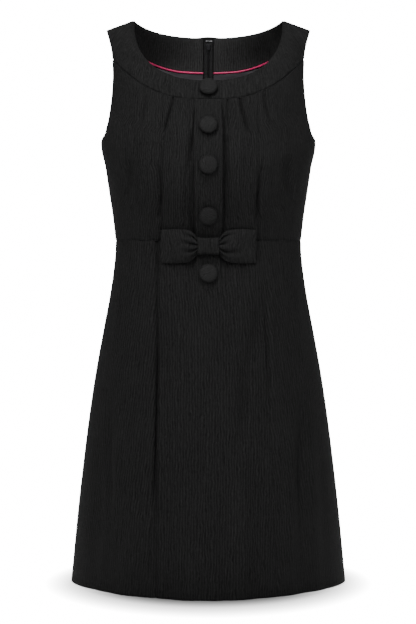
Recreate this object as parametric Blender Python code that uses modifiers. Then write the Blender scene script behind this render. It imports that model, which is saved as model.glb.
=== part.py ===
"""A-line dress with a round yoke, a mock button placket, a bow and a back zip.

It keeps the hollow shape that it has when worn. Metres, +Z up, the front faces -Y.
The origin lies midway between the two neck-and-shoulder points, where the dress is held up.
"""

from collections import namedtuple

import bmesh
import bpy
import numpy as np
from mathutils import Matrix, Vector

# Cloth
WALL = 0.0015
LINING_WALL = 0.0010
FACING_WALL = 0.0012
BOW_WALL = 0.0012
GAP = 0.0003
HALF_SEAM = 0.00018
WAIST_HALF_SEAM = 0.00034
SHOULDER_HALF_SEAM = 0.00055
INSIDE_GAP = 0.0007

# Neckline and shoulders
NECK_HALF_WIDTH = 0.1145
NECK_FRONT_DROP = 0.1054
NECK_FRONT_REACH = 0.0900
NECK_BACK_DROP = 0.0125
NECK_BACK_REACH = 0.0900
NECK_FRONT_POWER = 2.36
NECK_BACK_POWER = 1.6
TIP_X = 0.1574
TIP_Z = -0.0152
NECK_SHARE = 0.80
SHOULDER_LIFT_SIDE = 0.018
SHOULDER_LIFT_OUT = 0.028
SHOULDER_LIFT_UP = 0.060
SHOULDER_LIFT_REACH = 0.080
TORSO_POWER = 2.2
TILT_POWER = 2.6

# Zip
ZIP_HALF_GROOVE = 0.0008
ZIP_TAPE_HALF_WIDTH = 0.0064
ZIP_TAPE_WALL = 0.0008
ZIP_SKIRT_LEVEL = 4.6
ZIP_COIL_RADIUS = 0.0011
SLIDER_LEVEL = 0.24
SLIDER_HALF_WIDTH = 0.0035
SLIDER_HALF_LENGTH = 0.0045
SLIDER_HEIGHT = 0.0024
FIN_HALF_WALL = 0.0005
FIN_HALF_LENGTH = 0.0020
FIN_HOLE_RADIUS = 0.0010
HINGE_OUT = 0.0022
TAB_HALF_WALL = 0.00045
TAB_HALF_WIDTH = 0.0032
TAB_LENGTH = 0.0190
TAB_SLOT_HALF_WIDTH = 0.0013
TAB_SLOT_LENGTH = 0.0036

# Facing and piping
PIPING_RADIUS = 0.0015
PIPING_SPACE = 0.00207
LINING_DROP = 0.055
INSIDE_START = 0.027
LINING_SHORT = 0.03

# Placket, buttons and bow
PLACKET_WALL = 0.0012
PLACKET_LOW_SHARE = 0.92
PLACKET_LOW_Z = -0.4180
BUTTON_RADIUS = 0.0142
BUTTON_HEIGHT = 0.0062
BUTTON_SHANK = 0.0006
BUTTON_SHANK_RADIUS = 0.0045
BUTTON_HEIGHTS = (-0.1172, -0.1767, -0.2350, -0.3070, -0.3948)
BOW_Z = -0.3535
BOW_HALF_LENGTH = 0.0711
BOW_GAP = 0.0016
KNOT_HALF_WIDTH = 0.0161
KNOT_HALF_HEIGHT = 0.0130
KNOT_REACH = 0.0086

Section = namedtuple("Section", "level z_centre z_side half_width depth edge_angle")
FRONT_SECTIONS = (
    Section(1, -0.1352, -0.0565, 0.1536, 0.1040, 72.3),
    Section(2, -0.1580, -0.0880, 0.1551, 0.1130, 69.2),
    Section(3, -0.1830, -0.1380, 0.1600, 0.1215, 68.6),
    Section(4, -0.2085, -0.1906, 0.1660, 0.1270, 90.0),
    Section(5, -0.2400, -0.2278, 0.1592, 0.1300, 90.0),
    Section(6, -0.2750, -0.2650, 0.1536, 0.1240, 90.0),
    Section(7, -0.3120, -0.3022, 0.1480, 0.1090, 90.0),
    Section(8, -0.3450, -0.3410, 0.1435, 0.0980, 90.0),
)
BACK_SECTIONS = (
    Section(1, -0.0650, -0.0600, 0.1536, 0.1000, 72.3),
    Section(2, -0.1050, -0.1000, 0.1551, 0.1050, 67.7),
    Section(3, -0.1470, -0.1380, 0.1600, 0.1065, 67.7),
    Section(4, -0.1930, -0.1906, 0.1660, 0.1050, 90.0),
    Section(5, -0.2300, -0.2278, 0.1592, 0.1020, 90.0),
    Section(6, -0.2660, -0.2650, 0.1536, 0.0965, 90.0),
    Section(7, -0.3030, -0.3022, 0.1480, 0.0895, 90.0),
    Section(8, -0.3400, -0.3410, 0.1435, 0.0850, 90.0),
)
ARMHOLE_KNOTS = (1, 2, 3, 3.5, 3.8, 4)
ARMHOLE_SCOOP = (70.5, 75.0)

SkirtRing = namedtuple(
    "SkirtRing", "level z_front z_side z_back half_width front back front_power back_power"
)
SKIRT_RINGS = (
    SkirtRing(0, -0.3450, -0.3410, -0.3400, 0.1435, 0.0980, 0.0850, 2.20, 2.20),
    SkirtRing(1, -0.3640, -0.3610, -0.3600, 0.1440, 0.1025, 0.0930, 2.20, 2.20),
    SkirtRing(2, -0.3960, -0.3952, -0.3950, 0.1477, 0.1085, 0.1050, 2.18, 2.18),
    SkirtRing(3, -0.4324, -0.4324, -0.4324, 0.1535, 0.1150, 0.1160, 2.15, 2.15),
    SkirtRing(4, -0.4696, -0.4696, -0.4696, 0.1606, 0.1215, 0.1250, 2.12, 2.12),
    SkirtRing(5, -0.5440, -0.5440, -0.5440, 0.1742, 0.1325, 0.1365, 2.06, 2.10),
    SkirtRing(6, -0.6184, -0.6184, -0.6184, 0.1853, 0.1430, 0.1450, 1.98, 2.08),
    SkirtRing(7, -0.6928, -0.6928, -0.6928, 0.1946, 0.1535, 0.1525, 1.89, 2.06),
    SkirtRing(8, -0.7672, -0.7672, -0.7672, 0.2029, 0.1635, 0.1600, 1.80, 2.05),
    SkirtRing(9, -0.8664, -0.8664, -0.8664, 0.2124, 0.1750, 0.1680, 1.68, 2.05),
)

SeamPoint = namedtuple("SeamPoint", "level x_left x_right")
PRINCESS_SEAMS = (
    SeamPoint(0, -0.0789, 0.0749),
    SeamPoint(2, -0.0786, 0.0800),
    SeamPoint(5, -0.0779, 0.0891),
    SeamPoint(7, -0.0800, 0.0935),
    SeamPoint(9, -0.0867, 0.1002),
)

# One row for each fold: its two ends, half its width, its height (minus for a trough)
# and how much of that height is left at each end.
Fold = namedtuple("Fold", "x_top z_top x_low z_low width height at_top at_low")
FRONT_FOLDS = (
    # tucks let out below the yoke, each a trough with a soft ridge on its inner side
    Fold(-0.0530, -0.130, -0.0710, -0.195, 0.0045, -0.0035, 0.5, 0.0),
    Fold(-0.0445, -0.130, -0.0610, -0.195, 0.0060, 0.0020, 0.5, 0.0),
    Fold(-0.0920, -0.120, -0.1040, -0.182, 0.0045, -0.0025, 0.5, 0.0),
    Fold(-0.0310, -0.133, -0.0330, -0.180, 0.0040, -0.0015, 0.5, 0.0),
    Fold(0.0477, -0.130, 0.0620, -0.195, 0.0045, -0.0035, 0.5, 0.0),
    Fold(0.0560, -0.130, 0.0705, -0.195, 0.0055, 0.0022, 0.5, 0.0),
    Fold(0.0830, -0.122, 0.0950, -0.178, 0.0045, -0.0026, 0.5, 0.0),
    Fold(0.0315, -0.133, 0.0340, -0.190, 0.0040, -0.0018, 0.5, 0.0),
    # troughs along the placket and the fullness beside them
    Fold(-0.0255, -0.145, -0.0240, -0.338, 0.0048, -0.0050, 0.2, 0.4),
    Fold(0.0255, -0.145, 0.0245, -0.338, 0.0048, -0.0062, 0.2, 0.4),
    Fold(-0.0430, -0.150, -0.0430, -0.335, 0.0130, 0.0040, 0.0, 0.2),
    Fold(0.0430, -0.150, 0.0430, -0.335, 0.0130, 0.0042, 0.0, 0.2),
    # waist darts and soft drag folds towards the side seams
    Fold(-0.0779, -0.225, -0.0713, -0.345, 0.0042, -0.0026, 0.0, 0.4),
    Fold(0.0769, -0.225, 0.0732, -0.345, 0.0042, -0.0026, 0.0, 0.4),
    Fold(-0.1250, -0.205, -0.1050, -0.300, 0.0100, -0.0030, 0.0, 0.0),
    Fold(0.1270, -0.210, 0.1060, -0.305, 0.0100, -0.0028, 0.0, 0.0),
)
BACK_FOLDS = (
    Fold(-0.0680, -0.190, -0.0720, -0.341, 0.0045, -0.0025, 0.0, 0.4),
    Fold(0.0680, -0.190, 0.0720, -0.341, 0.0045, -0.0025, 0.0, 0.4),
    Fold(-0.1180, -0.200, -0.0950, -0.300, 0.0110, -0.0030, 0.0, 0.0),
    Fold(0.1160, -0.205, 0.0980, -0.290, 0.0110, -0.0028, 0.0, 0.0),
)
SKIRT_FRONT_FOLDS = (
    Fold(-0.0290, -0.345, -0.0280, -0.425, 0.0050, -0.0024, 0.7, 0.0),
    Fold(0.0290, -0.345, 0.0280, -0.425, 0.0050, -0.0026, 0.7, 0.0),
    Fold(0.0760, -0.400, 0.0820, -0.600, 0.0110, -0.0042, 0.0, 0.0),
    Fold(-0.0680, -0.430, -0.0700, -0.640, 0.0110, -0.0024, 0.0, 0.0),
    Fold(0.1340, -0.600, 0.1440, -0.8664, 0.0120, -0.0055, 0.0, 0.5),
    Fold(-0.1560, -0.590, -0.1720, -0.8664, 0.0110, -0.0050, 0.0, 0.4),
    Fold(-0.0280, -0.450, -0.0330, -0.8664, 0.0170, 0.0032, 0.0, 1.0),
    Fold(0.0360, -0.500, 0.0470, -0.8664, 0.0190, 0.0034, 0.0, 1.0),
    Fold(-0.1120, -0.640, -0.1220, -0.8664, 0.0150, 0.0034, 0.0, 1.0),
)
SKIRT_BACK_FOLDS = (
    Fold(-0.0720, -0.341, -0.0740, -0.450, 0.0045, -0.0022, 0.4, 0.0),
    Fold(0.0720, -0.341, 0.0740, -0.450, 0.0045, -0.0022, 0.4, 0.0),
    Fold(-0.0950, -0.500, -0.1250, -0.8664, 0.0170, -0.0060, 0.0, 1.0),
    Fold(-0.0420, -0.560, -0.0500, -0.8664, 0.0180, 0.0045, 0.0, 1.0),
    Fold(0.0360, -0.620, 0.0430, -0.8664, 0.0160, 0.0040, 0.0, 1.0),
    Fold(0.1050, -0.520, 0.1300, -0.8664, 0.0160, -0.0055, 0.0, 1.0),
)

LoopWidth = namedtuple("LoopWidth", "x half_height")
LOOP_SHAPE = (
    LoopWidth(0.0110, 0.0102),
    LoopWidth(0.0165, 0.0106),
    LoopWidth(0.0184, 0.0140),
    LoopWidth(0.0236, 0.0202),
    LoopWidth(0.0310, 0.0235),
    LoopWidth(0.0410, 0.0247),
    LoopWidth(0.0711, 0.0247),
)

EdgePoint = namedtuple("EdgePoint", "share level")
FACING_EDGE = (
    EdgePoint(0.00, 1.035),
    EdgePoint(0.20, 0.985),
    EdgePoint(0.42, 0.815),
    EdgePoint(0.60, 0.665),
    EdgePoint(0.80, 0.545),
)

TO_SHOULDER = np.linspace(NECK_SHARE, 1, 5)
PLACKET_SHARES = np.array([-0.067, -0.034, 0, 0.034, 0.067])
FRONT_COLUMNS = np.concatenate([[0, 0.034], np.linspace(0.067, NECK_SHARE, 19)[:-1], TO_SHOULDER])
BACK_COLUMNS = np.concatenate([[0], np.linspace(INSIDE_START, NECK_SHARE, 9)[:-1], TO_SHOULDER])
YOKE_LEVELS = np.linspace(0, 1, 4)
FRONT_LEVELS = np.array([1, 1.5, 2, 2.5, 3, 3.35, 3.65, 3.85, 4, 4.5, 5, 5.5, 6, 6.6, 7.3, 8])
BACK_TOP_LEVELS = np.array([0, 0.16, 0.33, 0.5, 0.66, 0.83])
BACK_LOW_LEVELS = np.array([1.7, 2.4, 3, 3.35, 3.65, 3.85, 4, 4.8, 5.6, 6.4, 7.2, 8])
FACING_ROWS = np.array([0, 0.17, 0.34, 0.5, 0.67, 0.85, 1])
LINING_ROWS = np.linspace(0, 1, 5)
BACK_LEVELS = np.concatenate([BACK_TOP_LEVELS, [1], BACK_LOW_LEVELS])
SKIRT_LEVELS = np.array([0, 0.5, 1, 1.6, 2.3, 3, 3.8, 4.6, 5.4, 6.2, 7, 7.7, 8.4, 9])


def column(table, name):
    return np.array([getattr(row, name) for row in table], float)


def through(knots, values, at):
    """A smooth curve through the values: a cubic between each two knots."""
    knots = np.asarray(knots, float)
    values = np.asarray(values, float)
    steps = np.diff(knots)
    rises = np.diff(values) / steps
    slopes = np.empty_like(values)
    slopes[1:-1] = (rises[:-1] * steps[1:] + rises[1:] * steps[:-1]) / (steps[:-1] + steps[1:])
    slopes[0] = rises[0]
    slopes[-1] = rises[-1]
    at = np.clip(np.asarray(at, float), knots[0], knots[-1])
    cell = np.clip(np.searchsorted(knots, at, side="right") - 1, 0, len(steps) - 1)
    t = (at - knots[cell]) / steps[cell]
    start = values[cell] * (1 + 2 * t) * (1 - t) ** 2
    end = values[cell + 1] * (3 - 2 * t) * t**2
    turn_in = slopes[cell] * steps[cell] * t * (1 - t) ** 2
    turn_out = slopes[cell + 1] * steps[cell] * (t - 1) * t**2
    return start + end + turn_in + turn_out


def smooth_step(t):
    t = np.clip(t, 0, 1)
    return t * t * (3 - 2 * t)


def fold_height(folds, x, z):
    """How far the folds push the cloth out at each x and z."""
    total = np.zeros_like(x)
    for fold in folds:
        along = np.clip((fold.z_top - z) / (fold.z_top - fold.z_low), 0, 1)
        middle = fold.x_top + (fold.x_low - fold.x_top) * along
        from_top = fold.at_top + (1 - fold.at_top) * smooth_step(along / 0.35)
        from_low = fold.at_low + (1 - fold.at_low) * smooth_step((1 - along) / 0.35)
        total += fold.height * from_top * from_low * np.exp(-(((x - middle) / fold.width) ** 2))
    return total


def ring_points(angle, half_width, depth, z_centre, z_side, power, facing, folds):
    """Points of one half ring. angle is 0 at the centre and 90 degrees at the side."""
    half_width = half_width - WALL / 2
    depth = depth - WALL / 2
    turn = np.radians(angle)
    across = np.abs(np.sin(turn)) ** (2 / power) * np.sign(turn)
    forward = np.maximum(np.cos(turn), 0) ** (2 / power)
    x = half_width * across
    z = z_centre + (z_side - z_centre) * np.abs(across) ** TILT_POWER
    out_x = np.sin(turn) / half_width
    out_y = np.cos(turn) / depth
    length = np.hypot(out_x, out_y)
    push = fold_height(folds, x, z)
    return np.stack(
        [x + push * out_x / length, facing * (depth * forward + push * out_y / length), z], axis=-1
    )


def angle_at(x, half_width, power):
    """The ring angle of the point that lies x from the centre plane."""
    share = np.clip(np.abs(x) / (half_width - WALL / 2), 0, 1)
    return np.degrees(np.arcsin(share ** (power / 2))) * np.sign(x)


def torso_ring(facing, angle, level, folds):
    """The bodice from the yoke seam (level 1) down to the waist (level 8)."""
    table = FRONT_SECTIONS if facing < 0 else BACK_SECTIONS
    levels = column(table, "level")
    sizes = [through(levels, column(table, name), level) for name in Section._fields[1:5]]
    z_centre, z_side, half_width, depth = sizes
    return ring_points(angle, half_width, depth, z_centre, z_side, TORSO_POWER, facing, folds)


def torso_angle(facing, share, level):
    """The ring angle at a share of the way from the centre to the armhole or side seam."""
    edges = column(FRONT_SECTIONS if facing < 0 else BACK_SECTIONS, "edge_angle")
    knots = [edges[0], edges[1], edges[2], *ARMHOLE_SCOOP, edges[3]]
    edge = through(ARMHOLE_KNOTS, knots, level)
    return 90 * share - (90 - edge) * np.abs(share) ** 3 * np.sign(share)


def top_edge(facing, share):
    """The neckline up to the neck-and-shoulder point, then the shoulder seam."""
    turn = np.radians(90) * np.clip(np.abs(share) / NECK_SHARE, 0, 1)
    power = NECK_FRONT_POWER if facing < 0 else NECK_BACK_POWER
    across = np.sin(turn) ** (2 / NECK_FRONT_POWER)
    forward = np.maximum(1 - across**power, 0) ** (1 / power)
    along_shoulder = np.clip((np.abs(share) - NECK_SHARE) / (1 - NECK_SHARE), 0, 1)
    x = NECK_HALF_WIDTH * across + (TIP_X - NECK_HALF_WIDTH) * along_shoulder
    if facing < 0:
        z = -NECK_FRONT_DROP * forward
        y = -NECK_FRONT_REACH * forward**0.78
    else:
        z = -NECK_BACK_DROP * (1 - across**4)
        y = NECK_BACK_REACH * forward
    z = z + TIP_Z * along_shoulder
    return np.stack([x * np.sign(share + 1e-12), y, z], axis=-1)


def torso_top(facing, share, level):
    """The part above level 1, without folds: a curved bridge from the top edge to that ring."""
    one = np.ones_like(share)
    step = 0.02
    top = top_edge(facing, share)
    seam = torso_ring(facing, torso_angle(facing, share, one), one, ())
    below = torso_ring(facing, torso_angle(facing, share, one + step), one + step, ())
    chord = seam - top
    reach = np.linalg.norm(chord, axis=-1, keepdims=True)
    leave = (below - seam) / np.linalg.norm(below - seam, axis=-1, keepdims=True) * reach
    near_shoulder = smooth_step(np.abs(share) / NECK_SHARE * 1.6 - 0.6)[..., None]
    lift = near_shoulder * np.array([0.0, facing * SHOULDER_LIFT_OUT, SHOULDER_LIFT_UP])
    at_tip = smooth_step((np.abs(share) - NECK_SHARE) / (1 - NECK_SHARE)) * np.sign(share)
    lift[..., 0] += SHOULDER_LIFT_SIDE * at_tip
    lift *= reach / SHOULDER_LIFT_REACH
    t = level[..., None]
    return (
        top * (1 + 2 * t) * (1 - t) ** 2
        + seam * (3 - 2 * t) * t**2
        + (chord + lift) * t * (1 - t) ** 2
        + leave * (t - 1) * t**2
    )


def torso(facing, share, level):
    """Front (facing -1) or back (facing 1) of the torso, at every share and level given."""
    share, level = np.broadcast_arrays(np.asarray(share, float), np.asarray(level, float))
    low = np.maximum(level, 1)
    folds = FRONT_FOLDS if facing < 0 else BACK_FOLDS
    ring = torso_ring(facing, torso_angle(facing, share, low), low, folds)
    top = torso_top(facing, share, np.clip(level, 0, 1))
    return np.where((level < 1)[..., None], top, ring)


def skirt(facing, angle, level):
    angle, level = np.broadcast_arrays(np.asarray(angle, float), np.asarray(level, float))
    levels = column(SKIRT_RINGS, "level")
    folds = SKIRT_FRONT_FOLDS if facing < 0 else SKIRT_BACK_FOLDS
    word = "front" if facing < 0 else "back"
    names = ("half_width", word, f"z_{word}", "z_side", f"{word}_power")
    half_width, depth, z_centre, z_side, power = (
        through(levels, column(SKIRT_RINGS, name), level) for name in names
    )
    return ring_points(angle, half_width, depth, z_centre, z_side, power, facing, folds)


def skirt_angle_at(x, level, word="front_power"):
    levels = column(SKIRT_RINGS, "level")
    half_width = through(levels, column(SKIRT_RINGS, "half_width"), level)
    power = through(levels, column(SKIRT_RINGS, word), level)
    return angle_at(x, half_width, power)


def strip_points(facing, xs, levels, skirt_levels):
    """Rows of points at given distances from the centre plane, down the torso and the skirt."""
    fine = np.linspace(0, 0.4, 161)
    rows = []
    for row, level in zip(xs, levels):
        known = torso(facing, fine, level)[:, 0]
        share = np.interp(np.abs(row), known, fine) * np.sign(row)
        rows.append(torso(facing, share, level))
    for row, level in zip(xs[len(levels) :], skirt_levels):
        rows.append(skirt(facing, skirt_angle_at(row, level, "back_power"), level))
    return np.array(rows)


def moved_out(grid, distance, facing):
    """The grid moved along its own normals, away from the body when distance is positive."""
    normal = np.cross(np.gradient(grid, axis=1), np.gradient(grid, axis=0))
    normal /= np.linalg.norm(normal, axis=-1, keepdims=True)
    outward = np.sign(normal[..., 1].sum()) * facing
    return grid + normal * distance * outward


def drawn_in(grid, top=0.0, low=0.0, left=0.0, right=0.0):
    """Moves the grid's edges towards its middle, to leave the seams' gaps."""
    grid = grid.copy()
    for distance, edge, inner in (
        (top, np.s_[0, :], np.s_[1, :]),
        (low, np.s_[-1, :], np.s_[-2, :]),
        (left, np.s_[:, 0], np.s_[:, 1]),
        (right, np.s_[:, -1], np.s_[:, -2]),
    ):
        way = grid[inner] - grid[edge]
        way /= np.linalg.norm(way, axis=-1, keepdims=True)
        grid[edge] += way * np.broadcast_to(distance, way.shape[:1])[:, None]
    return grid


def material(name, color, roughness, metallic=0.0):
    made = bpy.data.materials.new(name)
    made.use_nodes = True
    shader = made.node_tree.nodes["Principled BSDF"]
    shader.inputs["Base Color"].default_value = (*color, 1.0)
    shader.inputs["Roughness"].default_value = roughness
    shader.inputs["Metallic"].default_value = metallic
    return made


def collection(name):
    made = bpy.data.collections.new(name)
    bpy.context.scene.collection.children.link(made)
    return made


def placed(name, mesh, look, home):
    made = bpy.data.objects.new(name, mesh)
    mesh.materials.clear()
    mesh.materials.append(look)
    home.objects.link(made)
    return made


def sheet(name, grid, wall, look, home):
    """A cloth wall: a grid with its points placed, made solid on both sides of them."""
    rows, columns = grid.shape[:2]
    cage = bmesh.new()
    bmesh.ops.create_grid(cage, x_segments=columns - 1, y_segments=rows - 1, size=0.5)
    mesh = bpy.data.meshes.new(name)
    cage.to_mesh(mesh)
    cage.free()
    mesh.vertices.foreach_set("co", grid.reshape(-1).astype(np.float32))
    mesh.shade_smooth()
    made = placed(name, mesh, look, home)
    solid = made.modifiers.new("wall", "SOLIDIFY")
    solid.thickness = wall
    solid.offset = 0.0
    solid.use_even_offset = True
    solid.use_rim = True
    return made


def tube(name, points, radius, resolution, look, home):
    """A cord along the points, with closed ends."""
    path = bpy.data.curves.new(name, "CURVE")
    path.dimensions = "3D"
    path.bevel_depth = radius
    path.bevel_resolution = resolution
    path.use_fill_caps = True
    line = path.splines.new("POLY")
    line.points.add(len(points) - 1)
    for slot, point in zip(line.points, points):
        slot.co = (*point, 1.0)
    path.materials.append(look)
    made = bpy.data.objects.new(name, path)
    home.objects.link(made)
    return made


def box_mesh(name, low, high):
    cage = bmesh.new()
    bmesh.ops.create_cube(cage, size=1.0)
    middle = (Vector(low) + Vector(high)) / 2
    size = Vector(high) - Vector(low)
    bmesh.ops.scale(cage, vec=size, verts=cage.verts)
    bmesh.ops.translate(cage, vec=middle, verts=cage.verts)
    mesh = bpy.data.meshes.new(name)
    cage.to_mesh(mesh)
    cage.free()
    return mesh


def cutter(made):
    made.hide_render = True
    made.display_type = "WIRE"
    return made


def boolean(made, other, operation):
    step = made.modifiers.new(other.name, "BOOLEAN")
    step.operation = operation
    step.object = other


def front_line():
    """The centre front's outer face from the neckline to below the placket, as y against z."""
    torso_levels = np.linspace(0, 8, 81)
    skirt_levels = np.linspace(0.05, 4, 40)
    upper = torso(-1, np.zeros(81), torso_levels)
    lower = skirt(-1, np.zeros(40), skirt_levels)
    line = np.concatenate([upper, lower])
    return line[:, 1] - WALL / 2, line[:, 2]


def build_yoke(look, home):
    shares = np.concatenate([-FRONT_COLUMNS[:0:-1], FRONT_COLUMNS])
    grid = torso(-1, shares[None, :], YOKE_LEVELS[:, None])
    on_shoulder = np.where(np.abs(shares) >= NECK_SHARE - 1e-6, SHOULDER_HALF_SEAM, 0.0)
    grid = drawn_in(grid, top=on_shoulder, low=HALF_SEAM)
    sheet("front_yoke", grid, WALL, look, home)


def build_bodice(look, home):
    for side, word in ((-1, "left"), (1, "right")):
        grid = torso(-1, side * FRONT_COLUMNS[None, :], FRONT_LEVELS[:, None])
        side_seam = np.where(FRONT_LEVELS >= 4, HALF_SEAM, 0.0)
        grid = drawn_in(
            grid, top=HALF_SEAM, low=WAIST_HALF_SEAM, left=HALF_SEAM, right=side_seam
        )
        sheet(f"bodice_front_{word}", grid, WALL, look, home)

        grid = torso(1, side * BACK_COLUMNS[None, :], BACK_LEVELS[:, None])
        on_shoulder = np.where(BACK_COLUMNS >= NECK_SHARE - 1e-6, SHOULDER_HALF_SEAM, 0.0)
        side_seam = np.where(BACK_LEVELS >= 4, HALF_SEAM, 0.0)
        grid = drawn_in(
            grid, top=on_shoulder, low=WAIST_HALF_SEAM, left=ZIP_HALF_GROOVE, right=side_seam
        )
        sheet(f"bodice_back_{word}", grid, WALL, look, home)


def build_skirt(look, home):
    levels = SKIRT_LEVELS[:, None]
    knots = column(PRINCESS_SEAMS, "level")
    seam_left = skirt_angle_at(through(knots, column(PRINCESS_SEAMS, "x_left"), levels), levels)
    seam_right = skirt_angle_at(through(knots, column(PRINCESS_SEAMS, "x_right"), levels), levels)

    across = np.linspace(0, 1, 17)[None, :]
    grid = skirt(-1, seam_left + (seam_right - seam_left) * across, levels)
    grid = drawn_in(grid, top=WAIST_HALF_SEAM, left=HALF_SEAM, right=HALF_SEAM)
    sheet("skirt_front_centre", grid, WALL, look, home)

    zip_end = SKIRT_LEVELS <= ZIP_SKIRT_LEVEL + 0.01
    back_seam = np.where(zip_end, ZIP_HALF_GROOVE, HALF_SEAM)
    for side, word, seam in ((-1, "left", seam_left), (1, "right", seam_right)):
        across = np.linspace(0, 1, 9)[None, :]
        grid = skirt(-1, seam + (side * 90 - seam) * across, levels)
        grid = drawn_in(grid, top=WAIST_HALF_SEAM, left=HALF_SEAM, right=HALF_SEAM)
        sheet(f"skirt_side_front_{word}", grid, WALL, look, home)

        across = np.linspace(0, 1, 13)[None, :]
        grid = skirt(1, side * 90 * across, levels)
        grid = drawn_in(grid, top=WAIST_HALF_SEAM, left=back_seam, right=HALF_SEAM)
        sheet(f"skirt_back_{word}", grid, WALL, look, home)


def build_inside(looks, home):
    """Facing, piping and lining, each made from the back's points moved in."""
    inward = -(WALL / 2 + INSIDE_GAP)
    shares = BACK_COLUMNS[(BACK_COLUMNS > 0) & (BACK_COLUMNS <= NECK_SHARE)][None, :]
    edge = [column(FACING_EDGE, name) for name in EdgePoint._fields]
    low_edge = through(*edge, shares)
    wide_shares = BACK_COLUMNS[(BACK_COLUMNS > 0) & (BACK_COLUMNS < 0.97)][None, :]
    start = through(*edge, wide_shares)
    for side, word in ((-1, "left"), (1, "right")):
        grid = torso(1, side * shares, FACING_ROWS[:, None] * low_edge)
        grid = moved_out(grid, inward - FACING_WALL / 2, 1)
        grid = drawn_in(grid, low=PIPING_SPACE, right=SHOULDER_HALF_SEAM)
        sheet(f"back_facing_{word}", grid, FACING_WALL, looks["cloth"], home)

        grid = torso(1, side * shares, low_edge + np.array([-0.05, 0.0, 0.05])[:, None])
        line = moved_out(grid, inward - PIPING_RADIUS, 1)[1]
        tube(f"piping_{word}", line, PIPING_RADIUS, 1, looks["piping"], home)

        first = start + LINING_DROP
        upper = first + (BACK_LOW_LEVELS[0] - first) * LINING_ROWS[:, None]
        rows = [upper, *(level + 0 * wide_shares for level in BACK_LOW_LEVELS[1:])]
        rows[-1] -= LINING_SHORT
        grid = torso(1, side * wide_shares, np.concatenate(rows))
        grid = moved_out(grid, inward - LINING_WALL / 2, 1)
        sheet(f"back_lining_{word}", grid, LINING_WALL, looks["lining"], home)


def build_zip(looks, home):
    """Two tapes and a coil behind the centre back, the slider at the top and its pull tab."""
    levels = BACK_LEVELS[1:]
    skirt_levels = SKIRT_LEVELS[(SKIRT_LEVELS > 0) & (SKIRT_LEVELS <= ZIP_SKIRT_LEVEL)]
    inward = -(WALL / 2 + INSIDE_GAP)
    count = len(levels) + len(skirt_levels)
    for side, word in ((-1, "left"), (1, "right")):
        xs = np.tile([side * ZIP_HALF_GROOVE, side * ZIP_TAPE_HALF_WIDTH], (count, 1))
        grid = strip_points(1, xs, levels, skirt_levels)
        grid = moved_out(grid, inward - ZIP_TAPE_WALL / 2, 1)
        sheet(f"zip_tape_{word}", grid, ZIP_TAPE_WALL, looks["tape"], home)

    xs = np.tile([-0.001, 0.0, 0.001], (count, 1))
    grid = strip_points(1, xs, levels, skirt_levels)
    line = moved_out(grid, inward - ZIP_TAPE_WALL - GAP - ZIP_COIL_RADIUS, 1)[:, 1]
    tube("zip_coil", line[2:], ZIP_COIL_RADIUS, 1, looks["tape"], home)


def slider_frame():
    """Where the slider sits: local Y points out of the cloth and local Z up along it."""
    near = torso(1, np.zeros(2), np.array([SLIDER_LEVEL - 0.1, SLIDER_LEVEL + 0.1]))
    down = Vector(near[1] - near[0]).normalized()
    across = Vector((1, 0, 0))
    out = down.cross(across) * -1
    out = out if out.y > 0 else -out
    middle = Vector((near[0] + near[1]) / 2) + out * WALL / 2
    frame = Matrix((across, out, -down)).transposed().to_4x4()
    frame.translation = middle
    return frame


def build_slider(looks, home, helpers):
    frame = slider_frame()
    body_face = -(WALL + INSIDE_GAP + ZIP_TAPE_WALL + GAP)
    low = (-SLIDER_HALF_WIDTH, body_face - SLIDER_HEIGHT, -SLIDER_HALF_LENGTH)
    body = box_mesh("zip_slider", low, (SLIDER_HALF_WIDTH, body_face, SLIDER_HALF_LENGTH))
    slider = placed("zip_slider", body, looks["metal"], home)
    slider.matrix_world = frame

    low = (-FIN_HALF_WALL, body_face - SLIDER_HEIGHT / 3, -FIN_HALF_LENGTH)
    high = (FIN_HALF_WALL, HINGE_OUT + 2 * FIN_HOLE_RADIUS, FIN_HALF_LENGTH)
    fin = cutter(placed("slider_fin", box_mesh("slider_fin", low, high), looks["metal"], helpers))
    fin.matrix_world = frame
    boolean(slider, fin, "UNION")

    cage = bmesh.new()
    round_hole = {"radius1": FIN_HOLE_RADIUS, "radius2": FIN_HOLE_RADIUS, "depth": 8 * FIN_HALF_WALL}
    bmesh.ops.create_cone(cage, cap_ends=True, segments=12, **round_hole)
    mesh = bpy.data.meshes.new("fin_hole")
    cage.to_mesh(mesh)
    cage.free()
    hole = cutter(placed("fin_hole", mesh, looks["metal"], helpers))
    turn = Matrix.Rotation(np.pi / 2, 4, "Y")
    hole.matrix_world = frame @ Matrix.Translation((0, HINGE_OUT, 0)) @ turn
    boolean(slider, hole, "DIFFERENCE")

    # The tab's own origin lies on its hinge, in the middle of its top bar.
    low = (-TAB_HALF_WIDTH, -TAB_HALF_WALL, -TAB_LENGTH)
    plate = box_mesh("pull_tab", low, (TAB_HALF_WIDTH, TAB_HALF_WALL, TAB_HALF_WALL))
    tab = placed("pull_tab", plate, looks["metal"], home)
    tab.matrix_world = frame @ Matrix.Translation((0, HINGE_OUT, 0))
    low = (-TAB_SLOT_HALF_WIDTH, -4 * TAB_HALF_WALL, -TAB_SLOT_LENGTH)
    high = (TAB_SLOT_HALF_WIDTH, 4 * TAB_HALF_WALL, -TAB_HALF_WALL)
    slot = box_mesh("tab_slot", low, high)
    window = cutter(placed("tab_slot", slot, looks["metal"], helpers))
    window.matrix_world = tab.matrix_world
    boolean(tab, window, "DIFFERENCE")


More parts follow.
